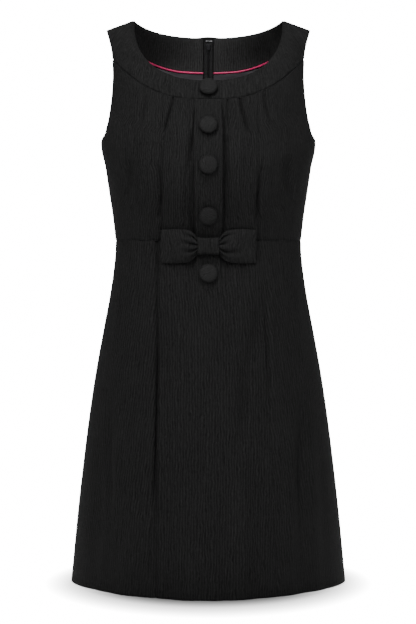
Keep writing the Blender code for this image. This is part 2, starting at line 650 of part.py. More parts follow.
def build_placket(look, home):
    """A band over the centre front, from the bodice's own columns and on down the skirt."""
    heights = -column(SKIRT_RINGS, "z_front")
    low_level = np.interp(-PLACKET_LOW_Z, heights, column(SKIRT_RINGS, "level"))
    on_bodice = torso(-1, PLACKET_SHARES[None, :], FRONT_LEVELS[:-1, None])
    across = on_bodice[-1, :, 0] * np.linspace(1, PLACKET_LOW_SHARE, 6)[:, None]
    levels = np.linspace(0.5, low_level, 6)[:, None]
    on_skirt = skirt(-1, skirt_angle_at(across, levels), levels)
    grid = np.concatenate([on_bodice, on_skirt])
    grid = moved_out(grid, WALL / 2 + GAP + PLACKET_WALL / 2, -1)
    grid = drawn_in(grid, top=GAP)
    sheet("placket", grid, PLACKET_WALL, look, home)


def build_buttons(look, home):
    line_y, line_z = front_line()
    on_placket = GAP + PLACKET_WALL
    dome = np.linspace(0, np.pi / 2, 5)
    rises = BUTTON_HEIGHT * (0.25 + 0.75 * np.cos(dome))
    profile = list(zip(BUTTON_RADIUS * np.sin(dome), rises))
    profile += [(BUTTON_RADIUS * 0.93, 0.0), (BUTTON_SHANK_RADIUS, 0.0)]
    profile += [(BUTTON_SHANK_RADIUS, -BUTTON_SHANK), (0.0, -BUTTON_SHANK)]
    for index, height in enumerate(BUTTON_HEIGHTS):
        mesh = bpy.data.meshes.new(f"button_{index + 1}")
        points = [(radius, 0.0, rise) for radius, rise in profile]
        mesh.from_pydata(points, [(i, i + 1) for i in range(len(points) - 1)], [])
        button = placed(f"button_{index + 1}", mesh, look, home)
        turned = button.modifiers.new("turned", "SCREW")
        turned.steps = 18
        turned.render_steps = 18
        turned.use_merge_vertices = True
        turned.merge_threshold = 0.00001
        order = np.argsort(line_z)
        near = np.array([height - 0.008, height, height + 0.008])
        y = np.interp(near, line_z[order], line_y[order])
        tilt = np.arctan2(y[2] - y[0], near[2] - near[0])
        out = Vector((0, -np.cos(tilt), np.sin(tilt)))
        over = 0.0 if index == 0 else on_placket
        sag = max(y[1] - (y[0] + y[2]) / 2, 0.0)
        stand = over + GAP + BUTTON_SHANK + sag
        button.matrix_world = Matrix.Translation(Vector((0, y[1], height)) + out * stand) @ (
            out.to_track_quat("Z", "X").to_matrix().to_4x4()
        )


def bow_back(x):
    """The plane that the bow lies on: clear of the placket and of the fullness beside it."""
    heights = np.linspace(BOW_Z - 0.027, BOW_Z + 0.027, 12)
    line_y, line_z = front_line()
    order = np.argsort(line_z)
    middle = np.interp(heights, line_z[order], line_y[order]).min() - (GAP + PLACKET_WALL)
    level = np.linspace(6.8, 8, 14)
    low = np.linspace(0, 1.7, 14)
    across = np.linspace(0.015, BOW_HALF_LENGTH, 12)
    share = np.array([[angle_at(at, FRONT_SECTIONS[-1].half_width, TORSO_POWER) / 90 for at in across]])
    upper = torso(-1, np.concatenate([share, -share]).reshape(1, -1), level[:, None])
    angles = skirt_angle_at(np.concatenate([across, -across])[None, :], low[:, None])
    lower = skirt(-1, angles, low[:, None])
    cloud = np.concatenate([upper.reshape(-1, 3), lower.reshape(-1, 3)])
    cloud = cloud[np.abs(cloud[:, 2] - BOW_Z) < 0.030]
    reach = cloud[:, 1] - WALL / 2
    middle = min(middle, reach[np.abs(cloud[:, 0]) < 0.035].min())
    wide = np.abs(cloud[:, 0]) > 0.035
    bend = ((reach[wide] - middle) / cloud[wide, 0] ** 2).min()
    return middle - GAP + max(bend, 0.0) * np.square(x)


def build_bow(look, home):
    knots = column(LOOP_SHAPE, "x")
    inner = knots[0]
    outer = BOW_HALF_LENGTH - BOW_GAP - BOW_WALL / 2
    back = np.array([inner, 0.0165, 0.0190, 0.0300, 0.0480, outer])
    turn = np.radians([30, 90, 150])
    front = np.array([outer, 0.058, 0.045, 0.036, 0.029, 0.0235, 0.0190, 0.0165, inner])
    x = np.concatenate([back, outer + BOW_GAP * np.sin(turn), front])
    out = np.concatenate([np.full(6, -1.0), -np.cos(turn), np.ones(9)]) * BOW_GAP
    is_front = np.concatenate([np.zeros(9), np.ones(9)])
    up = np.linspace(1, -1, 15)
    half_height = through(knots, column(LOOP_SHAPE, "half_height"), x)
    pleats = 0.5 - 0.5 * np.cos(2 * np.pi * 3.5 * (up + 1) / 2)
    near_knot = smooth_step((0.048 - x) / 0.026) * is_front
    inside_knot = 0.45 + 0.55 * smooth_step((x - 0.0165) / 0.006)
    puff = 0.0008 * smooth_step((x - inner) / 0.02) * smooth_step((outer - x) / 0.02) * is_front
    rise = 0.0024 * pleats[:, None] * (near_knot * inside_knot)[None, :] + puff[None, :]
    for side, word in ((-1, "left"), (1, "right")):
        grid = np.empty((len(up), len(x), 3))
        grid[..., 0] = side * x
        grid[..., 1] = bow_back(x) - BOW_WALL / 2 - BOW_GAP - out - rise
        grid[..., 2] = BOW_Z + up[:, None] * half_height
        sheet(f"bow_loop_{word}", grid, BOW_WALL, look, home)

    corner = np.radians(np.linspace(0, 90, 4))
    radius = 0.0030
    top = KNOT_HALF_HEIGHT - BOW_WALL / 2
    arc_out = KNOT_REACH - radius + radius * np.sin(corner)
    arc_up = top - radius + radius * np.cos(corner)
    half = np.concatenate([[GAP, KNOT_REACH / 2], arc_out])
    out = np.concatenate([half, [KNOT_REACH + 0.0004], half[::-1]])
    up = np.concatenate([[top, top], arc_up, [0.0], -arc_up[::-1], [-top, -top]])
    across = np.linspace(-1, 1, 5)
    waist_in = 1 - 0.05 * (1 - across**2)
    grid = np.empty((len(up), len(across), 3))
    grid[..., 0] = KNOT_HALF_WIDTH * across
    grid[..., 1] = bow_back(0.0) - out[:, None]
    grid[..., 2] = BOW_Z + up[:, None] * waist_in
    sheet("bow_knot", grid, BOW_WALL, look, home)


def main():
    for old in list(bpy.data.objects):
        bpy.data.objects.remove(old)
    home = collection("a_line_dress")
    helpers = collection("cutters")
    looks = {
        "cloth": material("black_crinkle_cloth", (0.013, 0.013, 0.014), 0.85),
        "band": material("black_band_cloth", (0.015, 0.015, 0.016), 0.80),
        "lining": material("grey_teal_satin", (0.030, 0.037, 0.037), 0.35),
        "piping": material("pink_satin", (0.300, 0.040, 0.110), 0.35),
        "tape": material("zip_tape", (0.012, 0.012, 0.013), 0.60),
        "metal": material("dark_metal", (0.250, 0.250, 0.260), 0.35, 1.0),
    }
    build_yoke(looks["cloth"], home)
    build_bodice(looks["cloth"], home)
    build_skirt(looks["cloth"], home)
    build_placket(looks["band"], home)
    build_buttons(looks["band"], home)
    build_bow(looks["band"], home)
    build_inside(looks, home)
    build_zip(looks, home)
    build_slider(looks, home, helpers)


main()
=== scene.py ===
from collections import namedtuple

import bmesh
import bpy
import numpy as np
from mathutils import Matrix, Vector


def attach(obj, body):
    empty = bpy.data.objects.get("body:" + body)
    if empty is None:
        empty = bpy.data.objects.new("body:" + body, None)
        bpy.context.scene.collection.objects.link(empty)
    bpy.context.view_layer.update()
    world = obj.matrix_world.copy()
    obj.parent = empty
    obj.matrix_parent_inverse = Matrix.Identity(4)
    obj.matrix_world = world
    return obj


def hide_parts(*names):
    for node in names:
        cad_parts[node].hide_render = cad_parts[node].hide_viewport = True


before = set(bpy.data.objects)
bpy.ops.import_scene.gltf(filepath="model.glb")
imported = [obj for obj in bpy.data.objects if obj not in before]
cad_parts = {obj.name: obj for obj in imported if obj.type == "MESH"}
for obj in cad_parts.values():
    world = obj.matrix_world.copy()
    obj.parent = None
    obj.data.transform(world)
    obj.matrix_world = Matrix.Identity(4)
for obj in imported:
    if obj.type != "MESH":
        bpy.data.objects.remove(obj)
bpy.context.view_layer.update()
bpy.ops.object.select_all(action="DESELECT")
print("frame loaded with", len(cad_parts), "CAD nodes")

# ---- the form of the dress, with the same sizes as its source, in metres ----
cloth = dict(wall=0.0015, shell=0.0015, halfSeam=0.00003, waistHalfSeam=0.00005,
             shoulderHalfSeam=0.00005, sideLap=0.00012, gap=0.0003, insideGap=0.0007,
             roundedShare=0.32, roundedAngle=1.05)
halfWall = cloth["wall"] / 2
neck = dict(halfWidth=0.1145, frontDrop=0.1054, frontReach=0.0900, backDrop=0.0125, backReach=0.0900,
            frontPower=2.36, backPower=1.6, tipX=0.1574, tipZ=-0.0152, share=0.80,
            lift=(0.018, 0.028, 0.060), liftReach=0.08, backLift=0.0010, zipLift=0.0026, zipReach=0.014,
            liftFade=0.06, reachBend=0.78, dropBend=4)
torsoForm = dict(power=2.2, tilt=2.6, armholeLevels=(1, 2, 3, 3.5, 3.8, 4), armholeScoop=(70.5, 75.0),
                 armholeLow=4, tuckFade=0.10, foldFade=0.35)

Section = namedtuple("Section", "level zCentre zSide halfWidth depth edgeAngle")
frontSections = [Section(*row) for row in (
    (1, -0.1352, -0.0565, 0.1536, 0.1040, 72.3),
    (2, -0.1580, -0.0880, 0.1551, 0.1130, 69.2),
    (3, -0.1830, -0.1380, 0.1600, 0.1215, 68.6),
    (4, -0.2085, -0.1906, 0.1660, 0.1270, 90.0),
    (5, -0.2400, -0.2278, 0.1592, 0.1300, 90.0),
    (6, -0.2750, -0.2650, 0.1536, 0.1240, 90.0),
    (7, -0.3120, -0.3022, 0.1480, 0.1090, 90.0),
    (8, -0.3450, -0.3410, 0.1435, 0.0980, 90.0),
)]
backSections = [Section(*row) for row in (
    (1, -0.0650, -0.0600, 0.1536, 0.1000, 72.3),
    (2, -0.1050, -0.1000, 0.1551, 0.1050, 67.7),
    (3, -0.1470, -0.1380, 0.1600, 0.1065, 67.7),
    (4, -0.1930, -0.1906, 0.1660, 0.1050, 90.0),
    (5, -0.2300, -0.2278, 0.1592, 0.1020, 90.0),
    (6, -0.2660, -0.2650, 0.1536, 0.0965, 90.0),
    (7, -0.3030, -0.3022, 0.1480, 0.0895, 90.0),
    (8, -0.3400, -0.3410, 0.1435, 0.0850, 90.0),
)]
SkirtRing = namedtuple("SkirtRing", "level zFront zSide zBack halfWidth front back frontPower backPower")
skirtRings = [SkirtRing(*row) for row in (
    (0, -0.3450, -0.3410, -0.3400, 0.1435, 0.0980, 0.0850, 2.20, 2.20),
    (1, -0.3640, -0.3610, -0.3600, 0.1440, 0.1025, 0.0930, 2.20, 2.20),
    (2, -0.3960, -0.3952, -0.3950, 0.1477, 0.1085, 0.1050, 2.18, 2.18),
    (3, -0.4324, -0.4324, -0.4324, 0.1535, 0.1150, 0.1160, 2.15, 2.15),
    (4, -0.4696, -0.4696, -0.4696, 0.1606, 0.1215, 0.1250, 2.12, 2.12),
    (5, -0.5440, -0.5440, -0.5440, 0.1742, 0.1325, 0.1365, 2.06, 2.10),
    (6, -0.6184, -0.6184, -0.6184, 0.1853, 0.1430, 0.1450, 1.98, 2.08),
    (7, -0.6928, -0.6928, -0.6928, 0.1946, 0.1535, 0.1525, 1.89, 2.06),
    (8, -0.7672, -0.7672, -0.7672, 0.2029, 0.1635, 0.1600, 1.80, 2.05),
    (9, -0.8664, -0.8664, -0.8664, 0.2124, 0.1750, 0.1680, 1.68, 2.05),
)]
princessSeams = [(0, -0.0789, 0.0749), (2, -0.0786, 0.0800), (5, -0.0779, 0.0891),
                 (7, -0.0800, 0.0935), (9, -0.0867, 0.1002)]  # level, x left, x right

# One row for each fold, in millimetres: its two ends, half its width, its height (minus for
# a trough) and how much of that height is left at each end, which is none if not given.
Fold = namedtuple("Fold", "xTop zTop xLow zLow width height atTop atLow", defaults=(0, 0))


def foldRows(*rows):
    return [Fold(*(length / 1000 for length in row[:6]), *row[6:]) for row in rows]


frontFolds = foldRows(
    # tucks let out below the yoke
    (-53, -130, -71, -195, 4.5, -3.5, 0.5),
    (-44.5, -130, -61, -195, 6, 2, 0.5),
    (-92, -120, -104, -182, 4.5, -2.5, 0.5),
    (-31, -133, -33, -180, 4, -1.5, 0.5),
    (47.7, -130, 62, -195, 4.5, -3.5, 0.5),
    (56, -130, 70.5, -195, 5.5, 2.2, 0.5),
    (83, -122, 95, -178, 4.5, -2.6, 0.5),
    (31.5, -133, 34, -190, 4, -1.8, 0.5),
    # troughs along the placket and the fullness beside them
    (-25.5, -145, -24, -338, 4.8, -5, 0.2, 0.4),
    (25.5, -145, 24.5, -338, 4.8, -6.2, 0.2, 0.4),
    (-43, -150, -43, -335, 13, 4, 0, 0.2),
    (43, -150, 43, -335, 13, 4.2, 0, 0.2),
    # waist darts and soft drag folds towards the side seams
    (-77.9, -225, -71.3, -345, 4.2, -2.6, 0, 0.4),
    (76.9, -225, 73.2, -345, 4.2, -2.6, 0, 0.4),
    (-125, -205, -105, -300, 10, -3),
    (127, -210, 106, -305, 10, -2.8),
)
backFolds = foldRows(
    (-68, -190, -72, -341, 4.5, -2.5, 0, 0.4),
    (68, -190, 72, -341, 4.5, -2.5, 0, 0.4),
    (-118, -200, -95, -300, 11, -3),
    (116, -205, 98, -290, 11, -2.8),
)
skirtFrontFolds = foldRows(
    (-29, -345, -28, -425, 5, -2.4, 0.7),
    (29, -345, 28, -425, 5, -2.6, 0.7),
    (76, -400, 82, -600, 11, -4.2),
    (-68, -430, -70, -640, 11, -2.4),
    (134, -600, 144, -866.4, 12, -5.5, 0, 0.5),
    (-156, -590, -172, -866.4, 11, -5, 0, 0.4),
    (-28, -450, -33, -866.4, 17, 3.2, 0, 1),
    (36, -500, 47, -866.4, 19, 3.4, 0, 1),
    (-112, -640, -122, -866.4, 15, 3.4, 0, 1),
)
skirtBackFolds = foldRows(
    (-72, -341, -74, -450, 4.5, -2.2, 0.4),
    (72, -341, 74, -450, 4.5, -2.2, 0.4),
    (-95, -500, -125, -866.4, 17, -6, 0, 1),
    (-42, -560, -50, -866.4, 18, 4.5, 0, 1),
    (36, -620, 43, -866.4, 16, 4, 0, 1),
    (105, -520, 130, -866.4, 16, -5.5, 0, 1),
)
# Creases that only the cloth has: narrow, uneven in length and depth.
frontCreases = foldRows(
    # released tucks under the yoke, each a sharp trough with a ridge on its outer side
    (-52.9, -138, -69, -196, 1.9, -4.2, 0.8),
    (-57.5, -140, -74, -197, 2, 1.9, 0.6),
    (-40, -140, -47, -176, 2, -1, 0.6),
    (-95.7, -128, -103, -186, 2.2, -1.6, 0.7),
    (-28, -141, -29, -184, 1.6, -1.4, 0.8),
    (47, -138, 59.6, -193, 1.8, -3.8, 0.9),
    (51.2, -138, 66, -198, 1.5, 2.6, 0.8),
    (55.6, -138, 71.8, -194, 1.7, -2, 0.8),
    (40, -140, 46, -176, 2, -1.2, 0.6),
    (83, -130, 94.6, -180, 1.8, -2, 0.8),
    (86.8, -132, 99, -186, 1.8, 1.8, 0.8),
    (28.4, -141, 29.6, -196, 1.6, -3.4, 0.8),
    # grooves beside the placket: the right one is deep, the left one bows outwards
    (20.2, -146, 23.6, -172, 1.8, -4, 0.2, 1),
    (23.6, -166, 26.2, -210, 1.4, -2, 0.2, 0.6),
    (26.2, -198, 25.8, -266, 1.3, -1.4, 0.2, 0.6),
    (25.8, -252, 21.2, -340, 1.3, -1.2, 0.2, 0.6),
    (-20.6, -146, -21.4, -180, 1.8, -3.8, 0.2, 0.8),
    (-21.4, -170, -26.2, -218, 1.9, -3.6, 0.2, 0.5),
    (-26.2, -206, -34, -262, 2.4, -2.2, 0.2, 0.5),
    (-34, -250, -30, -304, 2.6, -2, 0.2, 0.5),
    (-30, -292, -22.4, -340, 2.4, -2.4, 0.2, 0.6),
    (25, -176, 23.8, -343, 4.6, 2.6, 0, 0.8),
    # waist darts and the drag lines beside them
    (-76.2, -226, -70.2, -276, 2.6, -4.6, 0, 0.9),
    (-70.2, -268, -75.2, -322, 2.4, -3, 0.6),
    (-73, -286, -71.8, -343, 4.2, 1.9, 0, 0.9),
    (81.8, -222, 75, -280, 2.4, -3.4, 0, 0.8),
    (75, -268, 69.4, -330, 2.2, -3.6, 0.3),
    (74, -290, 73.2, -343, 4.2, 1.7, 0, 0.9),
    (-84, -242, -80, -330, 4, 1.3, 0, 0.2),
    (88, -246, 85, -330, 4, 1.2, 0, 0.1),
    (-56, -238, -54, -333, 4.2, 1, 0, 0.2),
    (59, -250, 56, -338, 4, 1, 0, 0.2),
    (-122, -218, -125, -296, 6, -4.2),
    (-107.5, -228, -118, -314, 4, 2.3),
    (119, -214, 127, -300, 6, -4.2),
    (108.5, -236, 119, -318, 3.8, 2.2),
    (-113, -168, -106, -232, 5, -1.2),
    (111, -172, 106, -226, 4.8, -1),
    (-142, -232, -123, -322, 6, 1.2),
    (140, -226, 126, -330, 5.8, 1.1),
)
backCreases = foldRows(
    (-30, -150, -33, -290, 6, -0.9),
    (34, -120, 31, -240, 6.4, -0.9),
    (-54, -236, -56, -338, 5, 0.8, 0, 0.2),
    (48, -252, 52, -338, 4.8, 0.8, 0, 0.2),
    (-92, -150, -108, -210, 5.5, -1),
    (96, -142, 109, -215, 5.5, -1),
    (-138, -240, -120, -330, 6, 1),
    (136, -230, 122, -322, 6, 0.9),
)
skirtFrontCreases = foldRows(
    # the left princess seam pulls in deeply, the right one stands proud beside a broad soft fold
    (-76.5, -480, -77.5, -600, 3.2, -3.4, 0, 1),
    (-77.5, -600, -80.8, -760, 3, -3.4, 1),
    (-70, -500, -72, -720, 5, 1.4),
    (73, -440, 40, -700, 12, -5.6),
    (93.5, -430, 96.5, -600, 4.2, 2),
    (85.8, -400, 90, -600, 2.8, -2, 0.2),
    (-149, -550, -148, -770, 7.2, -5),
    (-138, -590, -134, -800, 8, 1.8),
    (140, -550, 143, -780, 8.5, -5.2),
    (126, -600, 127, -820, 8, 2),
    (13, -600, 10, -866.4, 11, 3.2, 0, 0.8),
    # beside the placket's low end
    (-20.8, -355, -19.6, -408, 2.2, -1.4, 1),
    (20.8, -355, 19.6, -404, 2.2, -1.6, 1),
    # long soft folds and the drag lines below the waist
    (-30, -470, -36, -590, 7, -1.4),
    (-50, -352, -56, -452, 5, -1.4, 0.6),
    (50, -352, 58, -440, 4.6, -1.4, 0.6),
    (-64, -348, -70, -400, 4, 1, 0.6),
    (8, -452, 4, -640, 8, -1.5),
    (-12, -560, -8, -800, 7, -1.4, 0, 0.2),
    (62, -620, 70, -866.4, 8.5, -1.9, 0, 0.6),
    (-56, -600, -62, -866.4, 8, -1.8, 0, 0.5),
    (18, -700, 20, -866.4, 7.5, -1.4, 0, 0.6),
    (-98, -350, -110, -452, 6, -1.5, 0.4),
    (101, -350, 113, -470, 6.2, -1.5, 0.4),
    (-128, -380, -142, -520, 7, 1.6),
    (130, -392, 142, -545, 7, 1.6),
    (-142, -660, -152, -866.4, 8, -1.8, 0, 0.6),
    (164, -600, 178, -866.4, 8, -1.8, 0, 0.5),
    (118, -680, 122, -866.4, 7, 1.5, 0, 0.6),
)
skirtBackCreases = foldRows(
    (-48, -346, -54, -470, 5.5, -0.9, 0.5),
    (46, -346, 50, -455, 5, -0.9, 0.5),
    (-98, -346, -112, -440, 6, -1, 0.4),
    (100, -346, 115, -462, 6, -1, 0.4),
    (-18, -500, -21, -700, 8, -1.1),
    (15, -540, 18, -866.4, 8, -1, 0, 0.5),
    (-72, -640, -79, -866.4, 8, -1.3, 0, 0.6),
    (69, -600, 76, -866.4, 8.5, -1.2, 0, 0.6),
    (-150, -560, -168, -866.4, 9, 1.3, 0, 0.6),
    (156, -600, 170, -866.4, 8.5, 1.2, 0, 0.6),
)


def column(table, name):
    return np.array([getattr(row, name) for row in table], float)


def smoothStep(t):
    t = np.clip(t, 0, 1)
    return t * t * (3 - 2 * t)


def bell(x):
    return np.exp(-(x**2))


def unit(vectors):
    return vectors / np.linalg.norm(vectors, axis=-1, keepdims=True)


def curve(t, start, end, leave, arrive):
    return (start * (1 + 2 * t) * (1 - t) ** 2 + end * (3 - 2 * t) * t**2
            + leave * t * (1 - t) ** 2 + arrive * (t - 1) * t**2)


def through(knots, values, at):  # a smooth curve through the values
    knots = np.asarray(knots, float)
    values = np.asarray(values, float)
    steps = np.diff(knots)
    rises = np.diff(values) / steps
    slopes = np.empty_like(values)
    slopes[1:-1] = (rises[:-1] * steps[1:] + rises[1:] * steps[:-1]) / (steps[:-1] + steps[1:])
    slopes[0] = rises[0]
    slopes[-1] = rises[-1]
    at = np.clip(np.asarray(at, float), knots[0], knots[-1])
    cell = np.clip(np.searchsorted(knots, at, side="right") - 1, 0, len(steps) - 1)
    t = (at - knots[cell]) / steps[cell]
    leave, arrive = slopes[cell] * steps[cell], slopes[cell + 1] * steps[cell]
    return curve(t, values[cell], values[cell + 1], leave, arrive)


def columnsAt(table, names, level):
    levels = column(table, "level")
    return [through(levels, column(table, name), level) for name in names]


def foldHeight(folds, x, z):
    total = np.zeros_like(x)
    fade = torsoForm["foldFade"]
    for fold in folds:
        along = np.clip((fold.zTop - z) / (fold.zTop - fold.zLow), 0, 1)
        middle = fold.xTop + (fold.xLow - fold.xTop) * along
        fromTop = fold.atTop + (1 - fold.atTop) * smoothStep(along / fade)
        fromLow = fold.atLow + (1 - fold.atLow) * smoothStep((1 - along) / fade)
        total += fold.height * fromTop * fromLow * bell((x - middle) / fold.width)
    return total


def ringPoints(angle, halfWidth, depth, zCentre, zSide, power, facing, folds):
    halfWidth, depth = halfWidth - halfWall, depth - halfWall
    turn = np.radians(angle)
    across = np.abs(np.sin(turn)) ** (2 / power) * np.sign(turn)
    forward = np.maximum(np.cos(turn), 0) ** (2 / power)
    x = halfWidth * across
    z = zCentre + (zSide - zCentre) * np.abs(across) ** torsoForm["tilt"]
    outX = np.sin(turn) / halfWidth
    outY = np.cos(turn) / depth
    size = np.hypot(outX, outY)
    push = foldHeight(folds, x, z)
    return np.stack([x + push * outX / size, facing * (depth * forward + push * outY / size), z], axis=-1)


def torsoRing(facing, angle, level, folds):
    zCentre, zSide, halfWidth, depth = columnsAt(
        frontSections if facing < 0 else backSections, Section._fields[1:5], level)
    return ringPoints(angle, halfWidth, depth, zCentre, zSide, torsoForm["power"], facing, folds)


def torsoAngle(facing, share, level):  # share 0 at the centre, 1 at the armhole or side seam
    edges = column(frontSections if facing < 0 else backSections, "edgeAngle")
    edge = through(torsoForm["armholeLevels"], [*edges[:3], *torsoForm["armholeScoop"], edges[3]], level)
    return 90 * share - (90 - edge) * np.abs(share) ** 3 * np.sign(share)


def topEdge(facing, share):
    turn = np.radians(90) * np.clip(np.abs(share) / neck["share"], 0, 1)
    power = neck["frontPower"] if facing < 0 else neck["backPower"]
    across = np.sin(turn) ** (2 / neck["frontPower"])
    forward = np.maximum(1 - across**power, 0) ** (1 / power)
    alongShoulder = np.clip((np.abs(share) - neck["share"]) / (1 - neck["share"]), 0, 1)
    x = neck["halfWidth"] * across + (neck["tipX"] - neck["halfWidth"]) * alongShoulder
    if facing < 0:
        z = -neck["frontDrop"] * forward
        y = -neck["frontReach"] * forward ** neck["reachBend"]
    else:
        z = -neck["backDrop"] * (1 - across ** neck["dropBend"])
        y = neck["backReach"] * forward
    return np.stack([x * np.sign(share + 1e-12), y, z + neck["tipZ"] * alongShoulder], axis=-1)


def torsoTop(facing, share, level):
    one = np.ones_like(share)
    top = topEdge(facing, share)
    seam, below = [torsoRing(facing, torsoAngle(facing, share, at), at, ()) for at in (one, one + 0.02)]
    chord = seam - top
    reach = np.linalg.norm(chord, axis=-1, keepdims=True)
    arrive = unit(below - seam) * reach
    nearShoulder = smoothStep(np.abs(share) / neck["share"] * 1.6 - 0.6)[..., None]
    side, out, up = neck["lift"]
    lift = nearShoulder * np.array([0.0, facing * out, up])
    atTip = smoothStep((np.abs(share) - neck["share"]) / (1 - neck["share"])) * np.sign(share)
    lift[..., 0] += side * atTip
    lift *= reach / neck["liftReach"]
    return curve(level[..., None], top, seam, chord + lift, arrive)


def torso(facing, share, level, creases=()):
    share, level = np.broadcast_arrays(np.asarray(share, float), np.asarray(level, float))
    low = np.maximum(level, 1)
    folds = (frontFolds if facing < 0 else backFolds) + list(creases)
    ring, plain = [torsoRing(facing, torsoAngle(facing, share, low), low, rows) for rows in (folds, ())]
    grown = smoothStep((low - 1) / torsoForm["tuckFade"])[..., None]  # the tucks start flat in the yoke seam
    ring = plain + (ring - plain) * grown
    top = torsoTop(facing, share, np.clip(level, 0, 1))
    if facing > 0:  # the back neck edge stands up a little, most of all at the zip
        lift = neck["zipLift"] * bell(top[..., 0] / neck["zipReach"])
        lift += neck["backLift"] * np.maximum(1 - (top[..., 0] / neck["halfWidth"]) ** 4, 0)
        top[..., 2] += lift * bell(level / neck["liftFade"])
    return np.where((level < 1)[..., None], top, ring)


def skirt(facing, angle, level, creases=()):
    angle, level = np.broadcast_arrays(np.asarray(angle, float), np.asarray(level, float))
    word = "front" if facing < 0 else "back"
    halfWidth, depth, zCentre, zSide, power = columnsAt(
        skirtRings, ("halfWidth", word, f"z{word.title()}", "zSide", f"{word}Power"), level)
    folds = (skirtFrontFolds if facing < 0 else skirtBackFolds) + list(creases)
    return ringPoints(angle, halfWidth, depth, zCentre, zSide, power, facing, folds)


def skirtLevelAt(z):
    return np.interp(-z, -column(skirtRings, "zFront"), column(skirtRings, "level"))


def skirtAngleAt(x, level, word="frontPower"):
    halfWidth, power = columnsAt(skirtRings, ("halfWidth", word), level)
    share = np.clip(np.abs(x) / (halfWidth - halfWall), 0, 1)
    return np.degrees(np.arcsin(share ** (power / 2))) * np.sign(x)


# ---- materials ----
class Value:  # an output of a node, to be reckoned with like a number
    def __init__(self, socket):
        self.socket = socket
        self.tree = socket.id_data

    def math(self, operation, *others):
        node = newNode(self.tree, "Math", dict(enumerate((self, *others))), operation=operation)
        return Value(node.outputs[0])

    def __add__(self, other):
        return self.math("ADD", other)

    def __mul__(self, other):
        return self.math("MULTIPLY", other)

    def __truediv__(self, other):
        return self.math("DIVIDE", other)

    def __pow__(self, other):
        return self.math("POWER", other)


def feed(node, inputs):  # each input gets another node's value or a fixed one
    for name, value in inputs.items():
        if isinstance(value, Value):
            node.id_data.links.new(value.socket, node.inputs[name])
        else:
            node.inputs[name].default_value = value
    return node


def assign(made, **settings):
    for name, value in settings.items():
        setattr(made, name, value)
    return made


def newNode(tree, kind, inputs=None, **settings):
    return feed(assign(tree.nodes.new(f"ShaderNode{kind}"), **settings), inputs or {})


def surfacePoints(tree, kind="UV"):
    return Value(newNode(tree, "TexCoord").outputs[kind])


def split(points):  # the first two parts of a place
    node = newNode(points.tree, "SeparateXYZ", {0: points})
    return Value(node.outputs[0]), Value(node.outputs[1])


def stretched(points, across, along):
    node = newNode(points.tree, "Mapping", {"Vector": points, "Scale": (across, along, 1.0)})
    return Value(node.outputs["Vector"])


def noise(points, scale=1.0, detail=2.0, rough=0.5):
    node = newNode(points.tree, "TexNoise", dict(Vector=points, Scale=scale, Detail=detail, Roughness=rough))
    return Value(node.outputs["Fac"])


def blend(factor, dark, light, kind="MIX"):
    node = newNode(factor.tree if isinstance(factor, Value) else dark.tree, "Mix", data_type="RGBA",
                   blend_type=kind)
    ends = [end if isinstance(end, Value) else (*end, 1.0) for end in (dark, light)]
    feed(node, dict(A=ends[0], B=ends[1], Factor=factor))
    return Value(node.outputs["Result"])


def bump(height, distance, strength=1.0, under=None):
    node = newNode(height.tree, "Bump", dict(Distance=distance, Strength=strength, Height=height))
    if under is not None:
        feed(node, dict(Normal=under))
    return Value(node.outputs["Normal"])


def newGroup(name, inputs, outputs):
    tree = bpy.data.node_groups.new(name, "ShaderNodeTree")
    tree.interface.new_socket("UV", in_out="INPUT", socket_type="NodeSocketVector")
    for way, labels in (("INPUT", inputs), ("OUTPUT", outputs)):
        for label in labels:
            tree.interface.new_socket(label, in_out=way, socket_type="NodeSocketFloat")
    given = tree.nodes.new("NodeGroupInput")
    return [Value(socket) for socket in given.outputs if socket.name], tree.nodes.new("NodeGroupOutput")


fullTurn = 6.2832
threadPitch = 0.00045
crinkleSizes = dict(  # each pattern's scale across and along the cloth, then how strongly each one counts
    slow=(130, 42), quick=(420, 190), depth=(95, 60), pucker=(520, 240), patches=(26, 12),
    slowSway=7.0, quickSway=1.6, secondTurns=2.6, second=0.18, ribs=0.32, puckers=0.75)


def buildCrinkleGroup():  # wavy ribs that run down the cloth, of uneven width and depth
    size = crinkleSizes
    (uv, pitch, wander), result = newGroup("crinkle", ("Pitch", "Wander"), ("Height", "Patches"))
    slow, quick = [(noise(stretched(uv, *size[word])) + -0.5) * wander for word in ("slow", "quick")]
    turns = (slow * size["slowSway"] + split(uv)[0] + quick * size["quickSway"]) / pitch
    wave = (turns * fullTurn).math("SINE")
    second = (turns * (size["secondTurns"] * fullTurn)).math("SINE")
    depth = noise(stretched(uv, *size["depth"]), detail=3.0, rough=0.6) * 1.6 + -0.3
    pucker = noise(stretched(uv, *size["pucker"]), detail=3.0, rough=0.65)
    patches = noise(stretched(uv, *size["patches"]), detail=3.0, rough=0.55)
    ribs = (second * size["second"] + wave) * depth * size["ribs"]
    feed(result, dict(Height=ribs + pucker * size["puckers"], Patches=patches))
    return result.id_data


def buildThreadGroup():  # plain weave: threads over and under each other
    (uv, pitch), result = newGroup("threads", ("Pitch",), ("Height",))
    first, second = [(part / pitch * fullTurn).math("SINE") for part in split(uv)]
    feed(result, dict(Height=first * second))
    return result.id_data


groups = dict(crinkle=buildCrinkleGroup(), threads=buildThreadGroup())


def placeGroup(points, name, **values):
    node = newNode(points.tree, "Group", node_tree=groups[name])
    feed(node, {0: points, **values})
    return [Value(socket) for socket in node.outputs]


def newLook(name, roughness, metallic=0.0, sheen=0.0, specular=0.5):
    look = bpy.data.materials.new(name)
    look.use_nodes = True
    shader = look.node_tree.nodes["Principled BSDF"]
    feed(shader, {"Roughness": roughness, "Metallic": metallic, "Specular IOR Level": specular,
                  "Sheen Weight": sheen, "Sheen Roughness": 0.45})
    return look, shader


